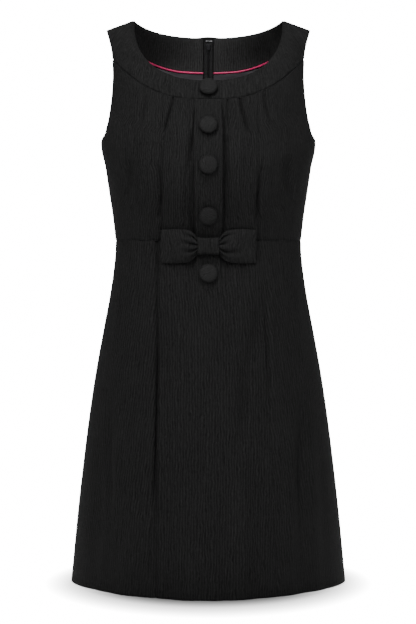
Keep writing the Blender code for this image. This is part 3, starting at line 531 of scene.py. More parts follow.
def finishLook(look, shader, tone, dark, light, normal, worn=None):
    feed(shader, {"Base Color": blend(tone, dark, light), "Normal": normal})
    if worn is not None:
        feed(shader, {"Roughness": worn})
    return look


def clothLook(name, dark, light, depth, pitch, wander):  # dark and light are levels of grey
    look, shader = newLook(name, 0.85, specular=0.09)
    points = surfacePoints(look.node_tree)
    height, patches = placeGroup(points, "crinkle", Pitch=pitch, Wander=wander)
    threads, = placeGroup(points, "threads", Pitch=threadPitch)
    # the colour follows the rib height: the bumps shade the ribs under the lamps, and the colour adds painted
    # shade in the troughs and painted light on the ridges, with random patches of tone
    tone = patches * 0.45 + (height * 1.45 + -0.36)
    normal = bump(height, depth, 1.0, bump(threads, 0.00006, 0.5))
    return finishLook(look, shader, tone, (dark,) * 3, (light,) * 3, normal, patches * 0.18 + 0.76)


def satinLook(name, dark, light, slant):
    look, shader = newLook(name, 0.36, sheen=0.05, specular=0.25)
    points = surfacePoints(look.node_tree)
    turned = newNode(look.node_tree, "Mapping", dict(Rotation=(0.0, 0.0, slant), Vector=points))
    streaks = noise(stretched(Value(turned.outputs["Vector"]), 60, 1500))
    patches = noise(stretched(points, 45, 90), detail=3.0, rough=0.55)
    normal = bump(patches, 0.0012, 0.8, bump(streaks, 0.00008, 0.6))
    return finishLook(look, shader, streaks * 0.5 + (patches * 0.9 + -0.25), dark, light, normal,
                      patches * 0.2 + 0.26)


def tapeLook(name):  # ribbed tape of the zip
    look, shader = newLook(name, 0.75, specular=0.08)
    points = surfacePoints(look.node_tree)
    threads, = placeGroup(points, "threads", Pitch=0.0008)
    ribs = noise(stretched(points, 1800, 300), detail=1.0)
    return finishLook(look, shader, threads * 0.3 + ribs, (0.0040, 0.0040, 0.0042), (0.0140, 0.0140, 0.0145),
                      bump(threads, 0.00012, 0.8))


def metalLook(name, dark, light, roughness):
    look, shader = newLook(name, roughness, metallic=1.0)
    points = surfacePoints(look.node_tree, "Object")
    scratches = noise(stretched(points, 3000, 260))
    tone = noise(points, 420.0, 4.0, 0.6) * 0.8 + scratches * 0.25
    return finishLook(look, shader, tone, dark, light, bump(scratches, 0.00003, 0.5),
                      scratches * 0.3 + (roughness - 0.12))


def paintRimShade(look, radius, spacing):  # painted shade: the cloth is coloured darker where it turns over a button's edge, standing in for the shade on the steep rim
    shader = look.node_tree.nodes["Principled BSDF"]
    x, y = [part.math("PINGPONG", spacing / 2) for part in split(surfacePoints(look.node_tree))]
    rim = ((x**2.0 + y**2.0).math("SQRT") / radius).math("MINIMUM", 1.0) ** 11.0
    plain = Value(shader.inputs["Base Color"].links[0].from_socket)
    paintedShade = blend(rim, (1.0, 1.0, 1.0), (0.12, 0.12, 0.12))
    feed(shader, {"Base Color": blend(1.0, plain, paintedShade, "MULTIPLY")})


clothRows = dict(  # name, darkest and lightest level, depth of the ribs, their pitch and wander
    body=("blackCrinkle", 0.0003, 0.0096, 0.00080, 0.0036, 0.0011),
    skirt=("skirtCrinkle", 0.0002, 0.0082, 0.00090, 0.0042, 0.0011),
    yoke=("yokeCrinkle", 0.0008, 0.0094, 0.00085, 0.0044, 0.0020),
    band=("bandCrinkle", 0.0008, 0.0094, 0.00060, 0.0036, 0.0014),
    button=("buttonCloth", 0.0026, 0.0126, 0.00020, 0.0021, 0.0012),
    # the facing is coloured lighter than the outer cloth: painted light, standing in for light that hardly
    # reaches inside the neck
    facing=("facingCrinklePaintedLight", 0.0066, 0.0205, 0.00026, 0.0036, 0.0011),
)
looks = {key: clothLook(*row) for key, row in clothRows.items()}
looks.update(
    lining=satinLook("tealSatin", (0.0080, 0.0076, 0.0086), (0.0305, 0.0272, 0.0312), 0.5),
    piping=satinLook("pinkSatin", (0.200, 0.007, 0.040), (0.480, 0.022, 0.105), 0.78),
    thread=tapeLook("blackThread"), tape=tapeLook("zipTape"), coil=tapeLook("zipNylon"),
    metal=metalLook("darkMetal", (0.010, 0.010, 0.011), (0.028, 0.028, 0.030), 0.55),
    bright=metalLook("brightWire", (0.07, 0.07, 0.072), (0.15, 0.15, 0.155), 0.42),
)
print("materials made:", len(looks))


# ---- cloth ----
def fineSteps(length, step, edge=(0.0006, 0.0013, 0.0022, 0.0034, 0.0050)):
    inner = length - 2 * edge[-1]  # the steps are closer together near both ends
    count = max(int(round(inner / step)), 2)
    middle = edge[-1] + inner * np.arange(1, count) / count
    ends = np.array(edge)
    return np.concatenate([[0], ends, middle, length - ends[::-1], [length]]) / length


def movedOut(grid, distance, facing):
    normal = unit(np.cross(np.gradient(grid, axis=1), np.gradient(grid, axis=0)))
    outward = np.sign(normal[..., 1].sum()) * facing
    return grid + normal * np.broadcast_to(distance, grid.shape[:2])[..., None] * outward


def lengthsAlong(grid, axis=0):  # of a line of points or of a grid
    steps = np.linalg.norm(np.diff(grid, axis=axis), axis=-1)
    start = np.zeros_like(np.take(steps, [0], axis=axis))
    return np.concatenate([start, np.cumsum(steps, axis=axis)], axis=axis)


def pointsAt(line, at):  # the points of a line at these lengths
    far = lengthsAlong(line)
    return np.stack([np.interp(at, far, line[:, axis]) for axis in range(3)], axis=-1)


def shortened(grid, start, end):  # each column of points loses these lengths at its two ends
    start, end = [np.broadcast_to(loss, (grid.shape[1],)) for loss in (start, end)]
    made = grid.copy()
    for index, far in enumerate(lengthsAlong(grid).T):
        kept = start[index] + far * (far[-1] - start[index] - end[index]) / far[-1]
        made[:, index] = pointsAt(grid[:, index], kept)
    return made


def drawnIn(grid, top=0.0, low=0.0, left=0.0, right=0.0):
    grid = shortened(grid, top, low)
    return shortened(grid.transpose(1, 0, 2), left, right).transpose(1, 0, 2)


def lapped(grid, facing, rows=slice(None)):  # the side seam closes with no slit between its two edges
    grid[rows, -1, 1] -= facing * cloth["sideLap"]
    return grid


def turnedIn(grid, facing, top=0.0, low=0.0, left=0.0, right=0.0, reach=0.0022):
    across = lengthsAlong(grid, 1)  # the cloth turns in softly at its seams and finished edges
    down = lengthsAlong(grid)
    depth = np.zeros(grid.shape[:2])
    for amount, away in ((top, down), (low, down[-1:] - down)):
        depth += np.asarray(amount) * bell(away / reach)
    for amount, away in ((left, across), (right, across[:, -1:] - across)):
        depth += np.reshape(amount, (-1, 1)) * bell(away / reach)
    return movedOut(grid, -depth, facing)


def clothMesh(name, grid, originColumn, offset):
    rows, columns = grid.shape[:2]
    cage = bmesh.new()
    bmesh.ops.create_grid(cage, x_segments=columns - 1, y_segments=rows - 1, size=0.5)
    mesh = bpy.data.meshes.new(name)
    cage.to_mesh(mesh)
    cage.free()
    mesh.vertices.foreach_set("co", grid.reshape(-1).astype(np.float32))
    across = lengthsAlong(grid, 1)
    across = across - across[:, originColumn : originColumn + 1]
    flat = np.stack([across + offset[0], offset[1] - lengthsAlong(grid)], axis=-1).reshape(-1, 2)
    loops = np.empty(len(mesh.loops), np.int32)
    mesh.loops.foreach_get("vertex_index", loops)
    layer = mesh.uv_layers.new(name="UVMap")
    layer.data.foreach_set("uv", flat[loops].reshape(-1).astype(np.float32))
    mesh.shade_smooth()
    return mesh


def solidMesh(name, points, faces, place):  # closed, with its faces turned outwards
    mesh = bpy.data.meshes.new(name)
    mesh.from_pydata(points, [], faces)
    cage = bmesh.new()
    cage.from_mesh(mesh)
    bmesh.ops.recalc_face_normals(cage, faces=cage.faces)
    layer = cage.loops.layers.uv.new("UVMap")
    for face in cage.faces:
        for loop, spot in zip(face.loops, place(face)):
            loop[layer].uv = spot
    cage.to_mesh(mesh)
    cage.free()
    mesh.shade_smooth()
    return mesh


def addObject(name, mesh, look):
    made = bpy.data.objects.new(name, mesh)
    mesh.materials.clear()
    mesh.materials.append(look)
    bpy.context.scene.collection.objects.link(made)
    return made


def clothSheet(name, grid, look, wall=None, originColumn=0, offset=(0.0, 0.0)):
    made = addObject(name, clothMesh(name, grid, originColumn, offset), look)
    wall = wall or cloth["shell"]
    assign(made.modifiers.new("wall", "SOLIDIFY"), thickness=wall, offset=0.0, use_even_offset=True)
    assign(made.modifiers.new("roundedEdge", "BEVEL"), width=wall * cloth["roundedShare"], segments=2,
           limit_method="ANGLE", angle_limit=cloth["roundedAngle"])
    return made


def declare(piece, node, body="dress"):
    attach(piece, body)
    if node:
        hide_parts(node)


def panel(node, grid, look, slot="cloth", name=None, **options):
    first, *rest = node.split("_")
    name = name or first + "".join(map(str.title, rest))
    declare(clothSheet(name, grid, looks[look], **options), node)


# each panel as sewn, without seam allowances: the steps between its rows and columns and how far its edges
# turn in
panelSizes = dict(columnStep=0.0027, rowStep=0.0030, fineColumn=0.0012, fineRow=0.0022, yokeRow=0.0026,
                  shoulderRow=0.0031, backRow=0.0034, seamTurn=0.0011, yokeTurn=0.0016, edgeTurn=0.00025,
                  backTurn=0.0004, sideTurn=0.00012, waistTurn=0.0007)
closureSizes = dict(sliderLevel=0.24, sliderReach=0.055, sliderGap=0.0008, edgeGap=0.00004,
                    skirtLevel=4.6, skirtGap=0.00008)  # how far the two backs part beside the zip
spans = dict(  # lengths across and down that the steps of each panel are spread over
    yoke=(0.21, 0.034), bodiceFront=(0.215, 0.235), bodiceBack=(0.225, 0.275), shoulder=0.075,
    skirtCentre=0.172, skirtSide=0.180, skirtBack=0.260)
princessTurns = dict(  # how far the two front seams turn in, by skirt ring level
    left=[(0, 0.0003), (3, 0.0003), (4.6, 0.0009), (5.5, 0.0013), (7, 0.0012), (8, 0.0007), (9, 0.0004)],
    right=[(0, 0.0003), (2, 0.0005), (3, 0.0009), (5, 0.0008), (6.5, 0.0005), (9, 0.0004)],
)
sides = ((-1, "left"), (1, "right"))


def makeYoke():
    half = fineSteps(spans["yoke"][0], panelSizes["columnStep"])
    shares = np.concatenate([-half[:0:-1], half])
    levels = fineSteps(spans["yoke"][1], panelSizes["yokeRow"], edge=(0.0006, 0.0013, 0.0022, 0.0034))
    grid = torso(-1, shares[None, :], levels[:, None])
    onShoulder = np.where(np.abs(shares) >= neck["share"] - 1e-6, cloth["shoulderHalfSeam"], 0.0)
    grid = drawnIn(grid, top=onShoulder, low=cloth["halfSeam"])
    edge = panelSizes["edgeTurn"]
    grid = turnedIn(grid, -1, top=edge, low=panelSizes["yokeTurn"], left=edge, right=edge, reach=0.0012)
    panel("front_yoke", grid, "yoke", originColumn=len(half) - 1, offset=(0.37, 0.11))


def makeBodice():
    size, zipper, seam, waist = panelSizes, closureSizes, cloth["halfSeam"], cloth["waistHalfSeam"]
    for side, word in sides:
        wide, tall = spans["bodiceFront"]
        shares = fineSteps(wide, size["fineColumn"])
        levels = 1 + 7 * fineSteps(tall, size["fineRow"])
        belowArm = levels >= torsoForm["armholeLow"]
        sideTurn = np.where(belowArm, size["sideTurn"], size["edgeTurn"])
        grid = torso(-1, side * shares[None, :], levels[:, None], frontCreases)
        grid = lapped(drawnIn(grid, seam, waist, seam, np.where(belowArm, seam, 0.0)), -1, belowArm)
        grid = turnedIn(grid, -1, top=size["yokeTurn"], reach=0.0014)
        grid = turnedIn(grid, -1, low=size["waistTurn"], right=sideTurn)
        panel(f"bodice_front_{word}", grid, "body", offset=(side * 1.3, 0.4))

        wide, tall = spans["bodiceBack"]
        shares = fineSteps(wide, size["columnStep"] * 1.1)
        levels = np.concatenate([fineSteps(spans["shoulder"], size["shoulderRow"])[:-1],
                                 1 + 7 * fineSteps(tall, size["backRow"])[5:]])
        belowArm = levels >= torsoForm["armholeLow"]
        sideTurn = np.where(belowArm, size["sideTurn"], size["edgeTurn"])
        grid = torso(1, side * shares[None, :], levels[:, None], backCreases)
        onShoulder = np.where(shares >= neck["share"] - 1e-6, cloth["shoulderHalfSeam"], 0.0)
        fromSlider = levels - zipper["sliderLevel"]  # its fin passes between the two edges, closed above it
        centre = np.where(fromSlider < 0, 0.0, zipper["edgeGap"])
        centre = np.where(np.abs(fromSlider) < zipper["sliderReach"], zipper["sliderGap"], centre)
        grid = lapped(drawnIn(grid, onShoulder, waist, centre, np.where(belowArm, seam, 0.0)), 1, belowArm)
        grid = turnedIn(grid, 1, size["backTurn"], size["seamTurn"], size["backTurn"], sideTurn)
        panel(f"bodice_back_{word}", grid, "body", offset=(side * 2.1, 0.7))


def makeSkirt():
    size, seam, waist = panelSizes, cloth["halfSeam"], cloth["waistHalfSeam"]
    turn, edge = size["waistTurn"], size["edgeTurn"]
    top, low = skirtRings[0].zFront, skirtRings[-1].zFront
    spread = skirtLevelAt(top - fineSteps(top - low, size["rowStep"]) * (top - low))
    levels = spread[:, None]
    knots, *seamRows = zip(*princessSeams)
    seamAngles = [skirtAngleAt(through(knots, row, levels), levels) for row in seamRows]
    turns = [np.interp(spread, *zip(*princessTurns[word])) for _, word in sides]

    across = fineSteps(spans["skirtCentre"], size["columnStep"])[None, :]
    grid = skirt(-1, seamAngles[0] + (seamAngles[1] - seamAngles[0]) * across, levels, skirtFrontCreases)
    grid = turnedIn(drawnIn(grid, waist, 0.0, seam, seam), -1, turn, edge, *turns)
    panel("skirt_front_centre", grid, "skirt", originColumn=across.shape[1] // 2, offset=(3.1, 0.2))

    backSeam = np.where(spread <= closureSizes["skirtLevel"] + 0.01, closureSizes["skirtGap"], seam)
    for (side, word), start, turnSeam in zip(sides, seamAngles, turns):
        across = fineSteps(spans["skirtSide"], size["columnStep"])[None, :]
        grid = skirt(-1, start + (side * 90 - start) * across, levels, skirtFrontCreases)
        grid = lapped(drawnIn(grid, waist, 0.0, seam, seam), -1)
        grid = turnedIn(grid, -1, turn, edge, turnSeam, size["sideTurn"])
        panel(f"skirt_side_front_{word}", grid, "skirt", originColumn=across.shape[1] // 2,
              offset=(4 + side * 0.6, 0.9))

        across = fineSteps(spans["skirtBack"], size["columnStep"] * 1.15)[None, :]
        grid = skirt(1, side * 90 * across, levels, skirtBackCreases)
        grid = lapped(drawnIn(grid, waist, 0.0, backSeam, seam), 1)
        grid = turnedIn(grid, 1, turn, edge, size["backTurn"], size["sideTurn"])
        panel(f"skirt_back_{word}", grid, "skirt", originColumn=across.shape[1] // 2,
              offset=(6 + side * 0.6, 0.5))


makeYoke()
makeBodice()
makeSkirt()
print("panels made")


# ---- placket, bow and buttons ----
placketSizes = dict(wall=0.0009, width=0.0385, step=0.0009, shares=0.067, lowShare=0.92, lowZ=-0.4180,
                    lift=0.00045, edgeTurn=0.0003, point=0.012, flush=0.0010, flushReach=0.016,
                    channel=0.0006, channelReach=0.045, stitchAt=0.80, pillow=0.00015, pillowPitch=0.0148)
placketAcross = 2 * fineSteps(placketSizes["width"], placketSizes["step"], edge=(0.0005, 0.0012, 0.0022)) - 1


def frontLine():
    upper = torso(-1, np.zeros(81), np.linspace(0, 8, 81))
    lower = skirt(-1, np.zeros(40), np.linspace(0.05, 4, 40))
    line = np.concatenate([upper, lower])
    line = line[np.argsort(line[:, 2])]
    return line[:, 1] - halfWall, line[:, 2]


def makePlacket():
    size = placketSizes
    across = placketAcross[None, :]
    upper = torso(-1, size["shares"] * across, np.linspace(1, 8, 84)[:, None])
    lowLevel = skirtLevelAt(size["lowZ"])
    lows = np.linspace(0, lowLevel, 31)[1:]
    width = upper[-1, -1, 0] * np.interp(lows, [0, 0.5, lowLevel], [1.0, 1.0, size["lowShare"]])
    lower = skirt(-1, skirtAngleAt(width[:, None] * across, lows[:, None]), lows[:, None])
    grid = np.concatenate([upper, lower])
    down = lengthsAlong(grid)
    # slightly uneven between the buttons, flat and pointed at its low end, drawn in along the stitches
    pillow = size["pillow"] * np.sin(down / size["pillowPitch"]) * (1 - across**2)
    fromLow = down[-1:] - down + size["point"] * (1 - np.abs(across))
    flush = size["flush"] * bell((fromLow / size["flushReach"]) ** 2)
    channel = size["channel"] * bell((np.abs(across) - size["stitchAt"]) / size["channelReach"])
    stand = halfWall + size["lift"] + size["wall"] / 2
    grid = drawnIn(movedOut(grid, stand + pillow - flush - channel, -1), top=cloth["gap"])
    grid = turnedIn(grid, -1, *[size["edgeTurn"]] * 4, reach=0.0016)
    panel("placket", grid, "band", "band", "placketBand", wall=size["wall"],
          originColumn=len(placketAcross) // 2, offset=(7.7, 0.3))
    return grid


bowSizes = dict(z=-0.3535, halfHeight=0.027, halfLength=0.0711, gap=0.0016, wall=0.0011, pleatDepth=0.0066,
                pleatHalf=(0.062, 0.202), underKnot=(0.60, 0.0150, 0.0190), pinch=0.55, squeeze=0.6,
                swell=0.0038, swellFlat=0.72, outerSwell=0.0010, sunk=0.0010,
                knotHalfWidth=0.0161, knotHalfHeight=0.0130, knotReach=0.0086, knotRadius=0.0036,
                knotDome=0.0004, flatHalf=0.035, bodyHalf=0.14195, clear=0.0015, near=0.030)
loopShape = [(0.0110, 0.0102), (0.0165, 0.0106), (0.0184, 0.0140), (0.0236, 0.0202),
             (0.0310, 0.0235), (0.0410, 0.0247), (0.0711, 0.0247)]  # x, half height
loopPleats = dict(  # up (-1 to 1) at the knot and where it fades out, its reach in x and its depth
    left=[(0.60, 0.72, 0.046, 1.0), (0.12, 0.20, 0.050, 1.0),
          (-0.36, -0.36, 0.046, 1.0), (-0.76, -0.86, 0.036, 0.8)],
    right=[(0.62, 0.74, 0.050, 1.0), (0.14, 0.18, 0.038, 0.8),
           (-0.40, -0.40, 0.054, 1.0), (-0.80, -0.90, 0.036, 0.7)],
)


def bowBack(x):  # the curve that the bow lies on, clear of the placket and the fullness beside it
    size = bowSizes
    heights = np.linspace(size["z"] - size["halfHeight"], size["z"] + size["halfHeight"], 12)
    lineY, lineZ = frontLine()
    middle = np.interp(heights, lineZ, lineY).min() - size["clear"]
    across = np.linspace(0.015, size["halfLength"], 12)
    share = np.degrees(np.arcsin((across / size["bodyHalf"]) ** (torsoForm["power"] / 2))) / 90
    upper = torso(-1, np.concatenate([share, -share])[None, :], np.linspace(6.8, 8, 14)[:, None])
    low = np.linspace(0, 1.7, 14)[:, None]
    lower = skirt(-1, skirtAngleAt(np.concatenate([across, -across])[None, :], low), low)
    cloud = np.concatenate([upper.reshape(-1, 3), lower.reshape(-1, 3)])
    cloud = cloud[np.abs(cloud[:, 2] - size["z"]) < size["near"]]
    reach = cloud[:, 1] - halfWall
    wide = np.abs(cloud[:, 0]) > size["flatHalf"]
    middle = min(middle, reach[~wide].min())
    bend = ((reach[wide] - middle) / cloud[wide, 0] ** 2).min()
    return middle - cloth["gap"] + max(bend, 0.0) * np.square(x)


def makeBow():
    size = bowSizes
    knots, halfHeights = zip(*loopShape)
    inner, outer = knots[0], size["halfLength"] - size["gap"] - size["wall"] / 2
    back = np.concatenate([np.linspace(inner, 0.024, 9), np.linspace(0.026, outer, 22)[:-1]])
    turn = np.radians(np.linspace(0, 180, 9))
    front = np.concatenate([np.linspace(outer, 0.034, 24)[1:], np.linspace(0.0326, inner, 20)])
    x = np.concatenate([back, outer + size["gap"] * np.sin(turn), front])
    out = np.concatenate([-np.ones(len(back)), -np.cos(turn), np.ones(len(front))]) * size["gap"]
    isFront = (np.arange(len(x)) > len(back) + 4).astype(float)
    up = 1 - 2 * fineSteps(0.048, 0.0008, edge=(0.0004, 0.0009, 0.0016))[:, None]
    pinch = 1 - size["pinch"] * up**6  # the two layers come together at the long edges
    least, start, end = size["underKnot"]
    underKnot = least + (1 - least) * smoothStep((x - start) / (end - start))
    thin, broad = size["pleatHalf"]
    swell = size["swell"] * smoothStep((x - inner) / 0.0075) * smoothStep((outer + 0.004 - x) / 0.046)
    swell = swell * (1 - size["swellFlat"] * up**2) + size["outerSwell"] * smoothStep((outer - x) / 0.01)
    for side, word in sides:
        pleats = np.zeros((len(up), len(x)))
        for upKnot, upFar, far, depth in loopPleats[word]:
            along = np.clip((x - inner) / (far - inner), 0, 1)
            middle = upKnot + (upFar - upKnot) * along
            fade = (1 - smoothStep(along)) ** 0.8 * isFront
            half = thin + (broad - thin) * along
            pleats -= depth * size["pleatDepth"] * fade * bell((up - middle) / half)
        rise = np.maximum(pleats * underKnot + swell * isFront, -size["sunk"]) * (1 - size["squeeze"] * up**6)
        y = bowBack(x) - size["wall"] / 2 - (size["gap"] + out) * pinch - rise
        z = size["z"] + up * through(knots, halfHeights, x)
        panel(f"bow_loop_{word}", np.stack([np.broadcast_to(side * x, y.shape), y, z], axis=-1), "band",
              "band", wall=size["wall"], offset=(8.4 + side * 0.2, 0.6))

    corner = np.radians(np.linspace(0, 90, 7))
    radius, reach, top = size["knotRadius"], size["knotReach"], size["knotHalfHeight"] - size["wall"] / 2
    arcOut = reach - radius + radius * np.sin(corner)
    arcUp = top - radius + radius * np.cos(corner)
    flat = np.linspace(arcUp[-1], -arcUp[-1], 15)[1:-1]
    ends = [0.0003, reach / 4, reach / 2]
    domed = reach + size["knotDome"] * (1 - (flat / top) ** 2)
    out = np.concatenate([ends, arcOut, domed, arcOut[::-1], ends[::-1]])[:, None]
    rise = np.concatenate([[top] * 3, arcUp, flat, -arcUp[::-1], [-top] * 3])[:, None]
    across = np.linspace(-1, 1, 25)
    ridges = 0.00035 * np.cos(across * 9.0 + 0.6) + 0.00020 * np.cos(across * 21.0)
    grid = np.stack([size["knotHalfWidth"] * across * (1 - 0.03 * (1 - (rise / top) ** 2)),
                     bowBack(0.0) - out * (1 - 0.05 * across**2) - ridges * (out > reach / 2),
                     size["z"] + rise * (1 - 0.07 * (1 - across**2))], axis=-1)
    panel("bow_knot", grid, "band", "band", wall=size["wall"], originColumn=12, offset=(9.1, 0.4))


buttonSizes = dict(radius=0.0142, height=0.0062, edge=0.0019, under=0.36, foot=0.0036, footEnd=0.0040,
                   insets=(0.0016, 0.0050), pressed=0.0012, shank=0.0006, stand=0.0014, bandStand=0.0015,
                   reach=0.008, puckers=22, puckerDepth=0.00022, puckerReach=0.10, dent=0.00022,
                   turned=0.9, spacing=0.1, heights=(-0.1172, -0.1767, -0.2350, -0.3070, -0.3948))


def editAll():
    bpy.ops.object.mode_set(mode="EDIT")
    bpy.ops.mesh.select_all(action="SELECT")


def buttonMesh():
    size = buttonSizes
    bpy.ops.object.select_all(action="DESELECT")
    bpy.ops.mesh.primitive_uv_sphere_add(segments=48, ring_count=32, radius=size["radius"])
    first = bpy.context.object
    editAll()
    bpy.ops.mesh.bisect(plane_co=(0, 0, -size["foot"]), plane_no=(0, 0, 1), clear_inner=True, use_fill=True)
    for thickness in size["insets"]:
        bpy.ops.mesh.inset(thickness=thickness)
    bpy.ops.mesh.extrude_region_move(TRANSFORM_OT_translate={"value": (0, 0, -size["pressed"])})
    bpy.ops.object.mode_set(mode="OBJECT")
    for point in first.data.vertices:
        spot = point.co
        share = np.hypot(spot.x, spot.y) / size["radius"]
        turn = np.arctan2(spot.y, spot.x)
        if spot.z > 0:
            spot.z = size["edge"] + (size["height"] - size["edge"]) * np.sqrt(max(1 - share**2.3, 0.0))
        elif spot.z > -size["footEnd"]:
            narrow = 1 + size["under"] * spot.z / size["foot"]  # the underside draws in towards the shank
            spot.z = size["edge"] * (1 + spot.z / size["foot"])
            spot.x *= narrow
            spot.y *= narrow
        else:
            spot.z = -size["shank"]
        nearRim = bell((share - 1.0) / size["puckerReach"]) * (spot.z > -0.0001)
        tuck = size["puckerDepth"] * nearRim * np.cos(turn * size["puckers"] + 1.2 * np.sin(3 * turn))
        dent = size["dent"] * np.sin(2.0 * turn + 0.8) * share**2 * (spot.z > 0.001)
        spot.x += tuck * np.cos(turn)
        spot.y += tuck * np.sin(turn)
        spot.z += dent
    mesh = first.data.copy()
    mesh.shade_smooth()
    bpy.data.objects.remove(first)
    return mesh


def makeButtons():
    size = buttonSizes
    # painted shade round the edge of each button
    paintRimShade(looks["button"], size["radius"], size["spacing"])
    lineY, lineZ = frontLine()
    plain = buttonMesh()
    for index, height in enumerate(size["heights"]):
        mesh = plain.copy()
        for loop in mesh.loops:  # the cloth lies flat across the button before it is placed
            spot = mesh.vertices[loop.vertex_index].co
            mesh.uv_layers.active.data[loop.index].uv = (spot.x + 14 + size["spacing"] * index, spot.y + 0.3)
        button = addObject(f"clothButton{index + 1}", mesh, looks["button"])
        near = np.array([height - size["reach"], height, height + size["reach"]])
        y = np.interp(near, lineZ, lineY)
        tilt = np.arctan2(y[2] - y[0], near[2] - near[0])
        away = Vector((0, -np.cos(tilt), np.sin(tilt)))
        over = size["stand"] + (size["bandStand"] if index else 0.0)
        stand = over + cloth["gap"] + size["shank"] + max(y[1] - (y[0] + y[2]) / 2, 0.0)
        spin = Matrix.Rotation(size["turned"] * index, 4, "Z")
        mesh.transform(Matrix.Translation(Vector((0, y[1], height)) + away * stand)
                       @ away.to_track_quat("Z", "X").to_matrix().to_4x4() @ spin)
        declare(button, f"button_{index + 1}")


placketGrid = makePlacket()
makeBow()
makeButtons()
print("placket, bow and buttons made")


# ---- back neck facing, piping and lining ----
insideSizes = dict(facingWall=0.0010, liningWall=0.0008, liningGap=0.0004, ripple=0.0004, liningDrop=0.055,
                   liningEnd=(0.935, 7.97), pipingRadius=0.0015, start=0.027)
facingEdge = [(0.00, 1.035), (0.20, 0.985), (0.42, 0.815), (0.60, 0.665), (0.80, 0.545)]  # share, level


def ringFaces(base, count, corners):  # the faces between rings of points that follow each other
    steps = [(step, (step + 1) % corners) for step in range(corners)]
    return [(low + step, low + following, low + corners + following, low + corners + step)
            for low in range(base, base + (count - 1) * corners, corners) for step, following in steps]


def tubeMesh(name, line, radius, corners):
    line = np.asarray(line, float)
    along = unit(np.gradient(line, axis=0))
    lead = np.cross(along, [0.0, 0.0, 1.0])
    lead[np.linalg.norm(lead, axis=1) < 1e-6] = (1.0, 0.0, 0.0)
    lead = unit(lead)
    rest = np.cross(along, lead)
    turn = np.linspace(0, 2 * np.pi, corners, endpoint=False)[None, :, None]
    rings = line[:, None] + radius * (np.cos(turn) * lead[:, None] + np.sin(turn) * rest[:, None])
    ends = [tuple(range(corners - 1, -1, -1)),
            tuple((len(line) - 1) * corners + step for step in range(corners))]
    far = lengthsAlong(line)

    def place(face):
        steps = [loop.vert.index % corners for loop in face.loops]
        wraps = max(steps) - min(steps) > 1
        return [((step + corners * (wraps and step == 0)) / corners * 2 * np.pi * radius,
                 far[loop.vert.index // corners]) for loop, step in zip(face.loops, steps)]

    return solidMesh(name, rings.reshape(-1, 3).tolist(), ringFaces(0, len(line), corners) + ends, place)


def makeInside():
    size = insideSizes
    inward = -(halfWall + cloth["insideGap"])
    spacing = (size["pipingRadius"] + cloth["gap"]) * 1.15
    narrow = size["start"] + (neck["share"] - size["start"]) * fineSteps(0.165, 0.0032)[None, :]
    edge = list(zip(*facingEdge))
    lowEdge = through(*edge, narrow)
    for side, word in sides:
        rows = np.concatenate([[0.0], fineSteps(0.06, 0.0032)[1:]])[:, None]
        grid = movedOut(torso(1, side * narrow, rows * lowEdge), inward - size["facingWall"] / 2, 1)
        grid = turnedIn(drawnIn(grid, low=spacing, right=0.0006), 1, top=-0.0002, reach=0.0015)
        panel(f"back_facing_{word}", grid, "facing", wall=size["facingWall"], offset=(side * 10.0, 0.8))

        grid = torso(1, side * narrow, lowEdge + np.array([-0.05, 0.0, 0.05])[:, None])
        line = movedOut(grid, inward - size["pipingRadius"], 1)[1]
        line = pointsAt(line, np.linspace(0, 1, 130) * lengthsAlong(line)[-1])
        mesh = tubeMesh("piping", line, size["pipingRadius"], 12)
        declare(addObject(f"pipingCord{word.title()}", mesh, looks["piping"]), f"piping_{word}")

        endShare, endLevel = size["liningEnd"]
        wide = size["start"] + (endShare - size["start"]) * fineSteps(0.195, 0.0040)[None, :]
        start = through(*edge, wide) + size["liningDrop"]
        share = fineSteps(0.27, 0.0050)[:, None]
        grid = torso(1, side * wide, start + (endLevel - start) * share)
        ripple = size["ripple"] * np.abs(np.sin(wide * 61 + 3 * share) * np.sin(share * 23 + wide * 9))
        grid = movedOut(grid, inward - size["liningWall"] / 2 - size["liningGap"] - ripple, 1)
        panel(f"back_lining_{word}", grid, "lining", "lining", wall=size["liningWall"],
              offset=(side * 11.0, 0.8))


makeInside()
print("facing, piping and lining made")


# ---- zip, slider, pull tab, hook and eye ----
zipSizes = dict(halfWidth=0.0064, wall=0.0007, start=0.115, coilRadius=0.0011, wire=0.00034, turnPitch=0.0016,
                stepsInTurn=7, coilGap=0.0006, flattened=0.95, cordRadius=0.0005, tapeFace=0.0011,
                axisOut=0.0022, barHalf=0.00045)


def stripPoints(xs, levels, skirtLevels):
    fine = np.linspace(0, 0.4, 161)
    rows = [torso(1, np.interp(np.abs(xs), torso(1, fine, level)[:, 0], fine) * np.sign(xs), level)
            for level in levels]
    return np.array(rows + [skirt(1, skirtAngleAt(xs, level, "backPower"), level) for level in skirtLevels])


def sliderFrame():  # local Y points out of the cloth and local Z up along it
    near = torso(1, np.zeros(2), closureSizes["sliderLevel"] + np.array([-0.1, 0.1]))
    down = Vector(near[1] - near[0]).normalized()
    across = Vector((1, 0, 0))
    out = across.cross(down)
    out = out if out.y > 0 else -out
    made = Matrix((across, out, -down)).transposed().to_4x4()
    made.translation = Vector((near[0] + near[1]) / 2) + out * halfWall
    return made


